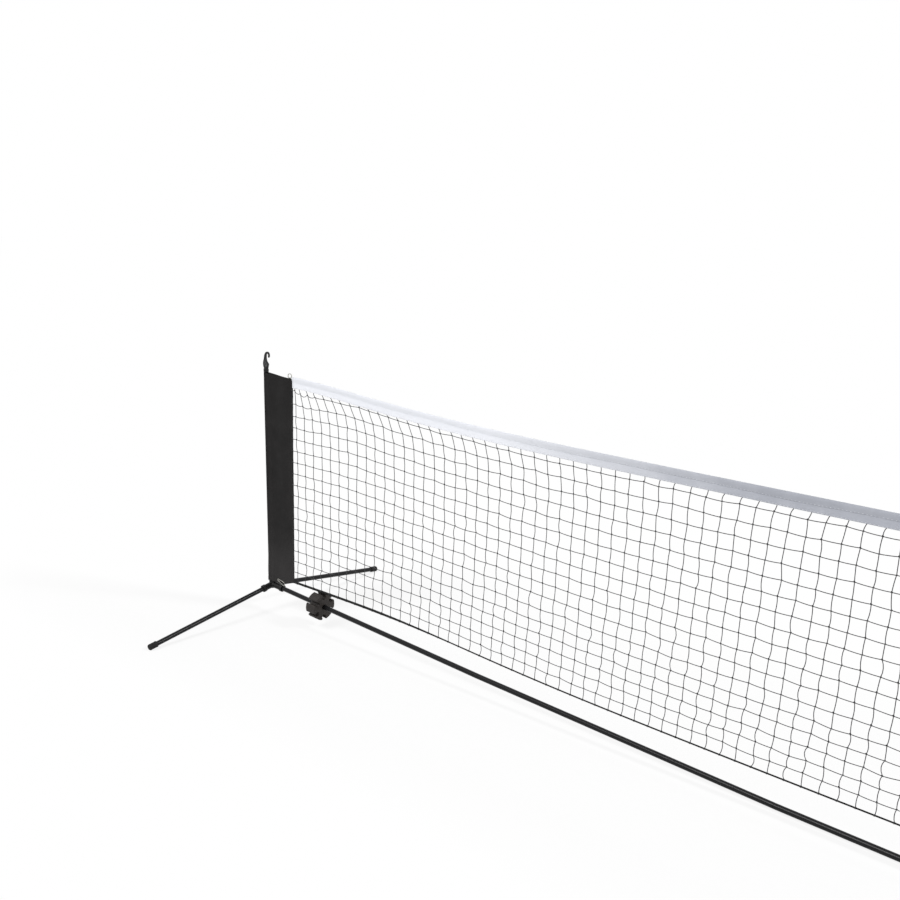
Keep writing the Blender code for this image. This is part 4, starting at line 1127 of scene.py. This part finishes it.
def sleeve_ring(share, phase, fold):
    """Outline of the sleeve at a share of its height, from the inner edge round the post."""
    level = level_at(share)
    radius = pocket_radius(level) + hem_step(share)
    width = sleeve_width(level) - EDGE_WAVE * abs(math.sin(level / EDGE_WAVES * math.pi))
    flat = [width - inwards for inwards in EDGE_POINTS]
    flat += list(np.linspace(width - FLAT_FROM, TAPER_END, FLAT_POINTS))
    flat += list(np.linspace(TAPER_END, radius * math.cos(POCKET_WRAP), TAPER_STEPS)[1:])
    front = [sleeve_point(x, share, -1.0, phase, fold) for x in flat]
    back = [sleeve_point(x, share, 1.0, phase, fold) for x in flat]
    arc = []
    for step in range(1, 2 * POCKET_STEPS):
        turn = POCKET_WRAP + (2 * math.pi - 2 * POCKET_WRAP) * step / (2 * POCKET_STEPS)
        x = radius * math.cos(turn)
        arc.append((x, -radius * math.sin(turn), sleeve_height(x, share)))
    edge = [(width, fold * sleeve_fold(width, level, phase), sleeve_height(width, share))]
    return edge + front + arc + back[::-1]


def sleeve_stitches(phase, sizes):
    """Stitches along the hems, the inner edge and the pocket, on both faces."""
    stitches = []

    def sew(x, share, next_x, next_share, face):
        """Adds one stitch that points at the next place."""
        place = np.array(sleeve_point(x, share, face, phase, sizes.fold))
        ahead = np.array(sleeve_point(next_x, next_share, face, phase, sizes.fold)) - place
        place[1] += face * STITCH_OUT
        stitches.append(stitch(place, ahead, sizes.stitch))

    for face in FACES:
        for index in range(int(SLEEVE_HEIGHT / sizes.stitch_pitch)):
            share = (index + 0.5) * sizes.stitch_pitch / SLEEVE_HEIGHT
            edge = sleeve_width(level_at(share)) - SEAM_FROM_EDGE
            for x in (edge, POCKET_SEAM):
                sew(x, share, x, share + AIM_SHARE, face)
        for share in (HEM_SEAM / SLEEVE_HEIGHT, 1.0 - HEM_SEAM / SLEEVE_HEIGHT):
            reach = sleeve_width(level_at(share)) - SEAM_STOP
            for index in range(int((reach - SEAM_END) / sizes.stitch_pitch)):
                x = SEAM_END + (index + 0.5) * sizes.stitch_pitch
                sew(x, share, x + STITCH_AIM, share, face)
    return stitches


def build_sleeves(sizes):
    """Fabric sleeves round the posts, with hems, seams and soft folds."""
    levels = sleeve_levels()
    for side, phase in SLEEVE_PHASES.items():
        name, body = f"{side}_sleeve", f"{side}_lift"
        rings = [sleeve_ring(share, phase, sizes.fold) for share in levels]
        faces = grid_faces(len(levels), len(rings[0]), wrap=True)
        mesh = mesh_of([place for ring in rings for place in ring], faces)
        mesh.transform(stand_matrix(side))
        sleeve = show(name + "_cloth", mesh, "woven_polyester", body, [name])
        thicken(sleeve, sizes.fabric)
        mesh = mesh_of(*gather(sleeve_stitches(phase, sizes)))
        mesh.transform(stand_matrix(side))
        seam = show(name + "_stitching", mesh, "dark_sewing_thread", body)


# Small cord loops on each stand, in its frame: X from the post axis inwards
RING_D = 0.0030
RING_WIDTH = 0.0128         # between the middles of its two sides
RING_RISE = 0.0148
RING_FROM_POST = 0.1255
RING_TURN = math.radians(22.0)  # from the net's plane towards the front
TIE_D = 0.0020
TIE_LENGTH = 0.038
TIE_WIDTH = 0.0125
TIE_START = (0.040, 0.1185)
TIE_LEAN = math.radians(-21.0)
ARC_STEPS = 6               # points in a quarter turn


def loop_route(length, width, way_there):
    """Loop with a round end, from the way to that end: (reach from its root, sideways) points."""
    half = width / 2
    turns = [math.pi / 2 * (1.0 - i / ARC_STEPS) for i in range(ARC_STEPS + 1)]
    there = way_there + [(length - half + half * math.cos(t), half * math.sin(t)) for t in turns]
    return there + [(reach, -aside) for reach, aside in there[-2::-1]]


def ring_route():
    """Upright ring on the sleeve's top edge near its inner corner, with its ends at its root."""
    half = RING_WIDTH / 2
    root = math.pi - math.asin(2 * GAP / RING_WIDTH)
    turns = [root + (math.pi / 2 - root) * i / ARC_STEPS for i in range(ARC_STEPS + 1)]
    way = [(half + half * math.cos(t), half * math.sin(t)) for t in turns]
    foot = sleeve_height(RING_FROM_POST, 1.0) + GAP + RING_D / 2
    return [
        (RING_FROM_POST + aside * math.cos(RING_TURN), aside * math.sin(RING_TURN), foot + reach)
        for reach, aside in loop_route(RING_RISE, RING_WIDTH, way)
    ]


def tie_route(phase, fold):
    """Slack drop-shaped loop that lies on the sleeve's front and hangs past its foot."""
    half, root = TIE_WIDTH / 2, GAP + TIE_D / 2
    shares = [i / (2 * ARC_STEPS) for i in range(2 * ARC_STEPS)]
    way = [((TIE_LENGTH - half) * t, root + (half - root) * t * (2.0 - t)) for t in shares]
    route = []
    for reach, across in loop_route(TIE_LENGTH, TIE_WIDTH, way):
        x = TIE_START[0] + reach * math.cos(TIE_LEAN) - across * math.sin(TIE_LEAN)
        z = TIE_START[1] + reach * math.sin(TIE_LEAN) + across * math.cos(TIE_LEAN)
        share = max((z - SLEEVE_FOOT_Z) / SLEEVE_HEIGHT, 0.0)
        front = sleeve_point(x, share, -1.0, phase, fold)[1]
        route.append((x, front - TIE_D / 2 - GAP, z))
    return route


LASHING_TURNS = 6
LASHING_PITCH = 0.00075
LASHING_R = 0.0004
LASHING_DEPTH = 0.0030      # how far the thread goes down the sleeve's faces
LASHING_OFF = 0.0005        # how far it stands off them, and drops to the ring's sides
LASHING_UNDER = 0.0008      # how much further down it dips inside the sleeve


def lashing(placement):
    """Thread turns that sew the ring's root to the sleeve's top edge."""
    turns = []
    edge = sleeve_height(RING_FROM_POST, 1.0)
    top = edge + GAP + RING_D + LASHING_R
    half = FLAT_HALF + HEM_STEP + LASHING_OFF
    for index in range(LASHING_TURNS):
        x = RING_FROM_POST + (index - (LASHING_TURNS - 1) / 2) * LASHING_PITCH
        turn = [placement @ Vector((x, y, z)) for y, z in (
            (-half, edge - LASHING_DEPTH), (-half, edge), (-RING_D / 2, top - LASHING_OFF), (0.0, top),
            (RING_D / 2, top - LASHING_OFF), (half, edge), (half, edge - LASHING_DEPTH),
            (0.0, edge - LASHING_DEPTH - LASHING_UNDER),
        )]
        turns.append(sweep(turn, LASHING_R, 6, side=(1.0, 0.0, 0.0), closed=True))
    return gather(turns)


def round_cord(name, route, diameter):
    """Curve object of a cord through a route, smoothed between its points, and its length."""
    curve = bpy.data.curves.new(name, "CURVE")
    curve.dimensions = "3D"
    curve.bevel_depth = diameter / 2
    curve.bevel_resolution = 4
    curve.use_fill_caps = True
    curve.resolution_u = 6
    spline = curve.splines.new("BEZIER")
    spline.bezier_points.add(len(route) - 1)
    for point, place in zip(spline.bezier_points, route):
        point.co = place
        point.handle_left_type = point.handle_right_type = "AUTO"
    obj = bpy.data.objects.new(name, curve)
    bpy.context.scene.collection.objects.link(obj)
    curve.materials.append(MATERIALS["braided_cotton"])
    return obj, spline.calc_length()


def build_loops(sizes):
    """The small pale loops at the sleeve's top corner and on its foot."""
    for side in SIDES:
        placement, body = stand_matrix(side), f"{side}_lift"
        mesh = mesh_of(*lashing(placement))
        show(f"{side}_ring_lashing", mesh, "dark_sewing_thread", body)
        for part, route, diameter in (
            ("cord_loop", ring_route(), RING_D),
            ("tie_loop", tie_route(SLEEVE_PHASES[side], sizes.fold), TIE_D),
        ):
            route = [placement @ Vector(place) for place in route]
            obj, length = round_cord(f"{side}_{part}_cord", route, diameter)
            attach(obj, body)
            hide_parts(f"{side}_{part}")


# Stage
FLOOR_SIZE = 60.0
FLOOR_LIT = 0.2             # share of the floor's brightness that comes from the light on it
LAMP_DISTANCE = 5.0
# Lamps far away: degrees to the right of the net's front, degrees up, and how wide they are
LAMPS = {"key": (-20.0, 50.0, 24.0), "fill": (60.0, 35.0, 60.0), "rear": (115.0, 35.0, 10.0)}


def seen_directly(tree):
    """1 for rays from the camera, off a gloss or through glass, which show the room as it is."""
    ray = node(tree, "LightPath").outputs
    seen = {0: ray["Is Camera Ray"], 1: ray["Is Glossy Ray"]}
    seen = {0: node(tree, "Math", "Value", seen, operation="MAXIMUM"), 1: ray["Is Transmission Ray"]}
    return node(tree, "Math", "Value", seen, operation="MAXIMUM")


def build_lamps(stage):
    """Three lamps, and the light that they and the sky cast on the floor."""
    level = stage.sky
    for name, angles in LAMPS.items():
        aside, up, width = (math.radians(angle) for angle in angles)
        lamp = bpy.data.lights.new(name + "_lamp", "SUN")
        lamp.energy = getattr(stage, name)
        lamp.angle = width
        obj = bpy.data.objects.new(name + "_lamp", lamp)
        bpy.context.scene.collection.objects.link(obj)
        away = Vector((math.sin(aside) * math.cos(up), -math.cos(aside) * math.cos(up), math.sin(up)))
        obj.location = away * LAMP_DISTANCE
        obj.rotation_euler = away.to_track_quat("Z", "Y").to_euler()
        level += lamp.energy * math.sin(up) / math.pi
    return level


def build_stage(stage, colours):
    """White floor and sky, three lamps, and the camera at the photograph's viewpoint."""
    scene = bpy.context.scene
    scene.view_settings.view_transform = "Standard"
    white = (*colours.floor, 1.0)
    level = build_lamps(stage)

    material = bpy.data.materials.new("studio_floor")
    tree = empty_tree(material)
    dull = node(tree, "BsdfDiffuse", "BSDF", {"Color": white})
    # Where no shadow falls, the glow and the light on the floor add up to white.
    strength = (WHITE - FLOOR_LIT * level) / (1.0 - FLOOR_LIT)
    glow = node(tree, "Emission", "Emission", {"Color": white, "Strength": strength})
    lit = node(tree, "MixShader", "Shader", {"Fac": FLOOR_LIT, 1: glow, 2: dull})
    both = node(tree, "MixShader", "Shader", {"Fac": seen_directly(tree), 1: dull, 2: lit})
    node(tree, "OutputMaterial", inputs={"Surface": both})
    bpy.ops.mesh.primitive_plane_add(size=FLOOR_SIZE)
    floor = bpy.context.object
    floor.name = "floor"
    floor.data.materials.append(material)

    scene.world = bpy.data.worlds.new("studio_sky")
    tree = empty_tree(scene.world)
    strength = {"Value": seen_directly(tree), "To Min": stage.sky, "To Max": WHITE}
    strength = node(tree, "MapRange", "Result", strength)
    sky = node(tree, "Background", "Background", {"Color": white, "Strength": strength})
    node(tree, "OutputWorld", inputs={"Surface": sky})

    camera = bpy.data.cameras.new("camera")
    camera.lens = stage.lens
    camera.sensor_width = 36.0
    camera.clip_end = 100.0
    obj = bpy.data.objects.new("camera", camera)
    scene.collection.objects.link(obj)
    turn = (
        Matrix.Rotation(stage.heading, 4, "Z")
        @ Matrix.Rotation(math.pi / 2 - stage.pitch, 4, "X")
        @ Matrix.Rotation(stage.roll, 4, "Z")
    )
    obj.matrix_world = Matrix.Translation(stage.eye) @ turn
    scene.camera = obj


class MININET_OT_materials(bpy.types.Operator):
    """Make the finishes"""
    bl_idname = "mininet.materials"
    bl_label = "Finishes"

    def execute(self, context):
        make_materials(context.scene.mini_net_colours)
        return {"FINISHED"}


class MININET_OT_stage(bpy.types.Operator):
    """Add the floor, the lamps and the camera"""
    bl_idname = "mininet.stage"
    bl_label = "Stage"

    def execute(self, context):
        build_stage(context.scene.mini_net_stage, context.scene.mini_net_colours)
        return {"FINISHED"}


class MININET_OT_loops(bpy.types.Operator):
    """Build the small cord loops"""
    bl_idname = "mininet.loops"
    bl_label = "Cord Loops"

    def execute(self, context):
        build_loops(context.scene.mini_net_sizes)
        return {"FINISHED"}


class MININET_OT_tubes(bpy.types.Operator):
    """Build the painted steel tubes"""
    bl_idname = "mininet.tubes"
    bl_label = "Tubes"

    def execute(self, context):
        build_tubes(context.scene.mini_net_sizes)
        return {"FINISHED"}


class MININET_OT_caps(bpy.types.Operator):
    """Build the rubber leg caps"""
    bl_idname = "mininet.caps"
    bl_label = "Leg Caps"

    def execute(self, context):
        build_caps(context.scene.mini_net_sizes)
        return {"FINISHED"}


class MININET_OT_mouldings(bpy.types.Operator):
    """Build the hubs, hooks and tube clips, and dress the sliding guides"""
    bl_idname = "mininet.mouldings"
    bl_label = "Mouldings"

    def execute(self, context):
        build_mouldings()
        return {"FINISHED"}


class MININET_OT_sleeves(bpy.types.Operator):
    """Build the fabric sleeves"""
    bl_idname = "mininet.sleeves"
    bl_label = "Sleeves"

    def execute(self, context):
        build_sleeves(context.scene.mini_net_sizes)
        return {"FINISHED"}


class MININET_OT_headband(bpy.types.Operator):
    """Build the headband tape"""
    bl_idname = "mininet.headband"
    bl_label = "Headband"

    def execute(self, context):
        build_headband(context.scene.mini_net_sizes)
        return {"FINISHED"}


class MININET_OT_net(bpy.types.Operator):
    """Build the knotted net and its bottom cord"""
    bl_idname = "mininet.net"
    bl_label = "Net"

    def execute(self, context):
        build_net(context.scene.mini_net_sizes)
        build_bottom_cord(context.scene.mini_net_sizes)
        return {"FINISHED"}


GROUPS = {
    "mini_net_sizes": MiniNetSizes,
    "mini_net_colours": MiniNetColours,
    "mini_net_stage": MiniNetStage,
}
OPERATORS = (
    MININET_OT_materials, MININET_OT_stage, MININET_OT_loops, MININET_OT_tubes, MININET_OT_caps,
    MININET_OT_mouldings, MININET_OT_sleeves, MININET_OT_headband, MININET_OT_net,
)


class MININET_PT_panel(bpy.types.Panel):
    """Sizes, colours and steps of the mini net"""
    bl_label = "Mini Tennis Net"
    bl_idname = "MININET_PT_panel"
    bl_space_type = "VIEW_3D"
    bl_region_type = "UI"
    bl_category = "Mini Net"

    def draw(self, context):
        column = self.layout.column()
        for group in GROUPS:
            settings = getattr(context.scene, group)
            for name in settings.__annotations__:
                column.prop(settings, name)
        for operator in OPERATORS:
            column.operator(operator.bl_idname)


def register():
    """Registers the settings, operators and panel."""
    for name, group in GROUPS.items():
        bpy.utils.register_class(group)
        setattr(bpy.types.Scene, name, PointerProperty(type=group))
    for made in (*OPERATORS, MININET_PT_panel):
        bpy.utils.register_class(made)


def unregister():
    """Removes what register added."""
    for made in (MININET_PT_panel, *OPERATORS):
        bpy.utils.unregister_class(made)
    for name, group in GROUPS.items():
        delattr(bpy.types.Scene, name)
        bpy.utils.unregister_class(group)


def main():
    """Builds the dressed net, step by step."""
    register()
    bpy.ops.mininet.materials()
    bpy.ops.mininet.stage()
    bpy.ops.mininet.loops()
    bpy.ops.mininet.tubes()
    bpy.ops.mininet.caps()
    bpy.ops.mininet.mouldings()
    bpy.ops.mininet.sleeves()
    bpy.ops.mininet.headband()
    bpy.ops.mininet.net()


if __name__ == "__main__":
    main()
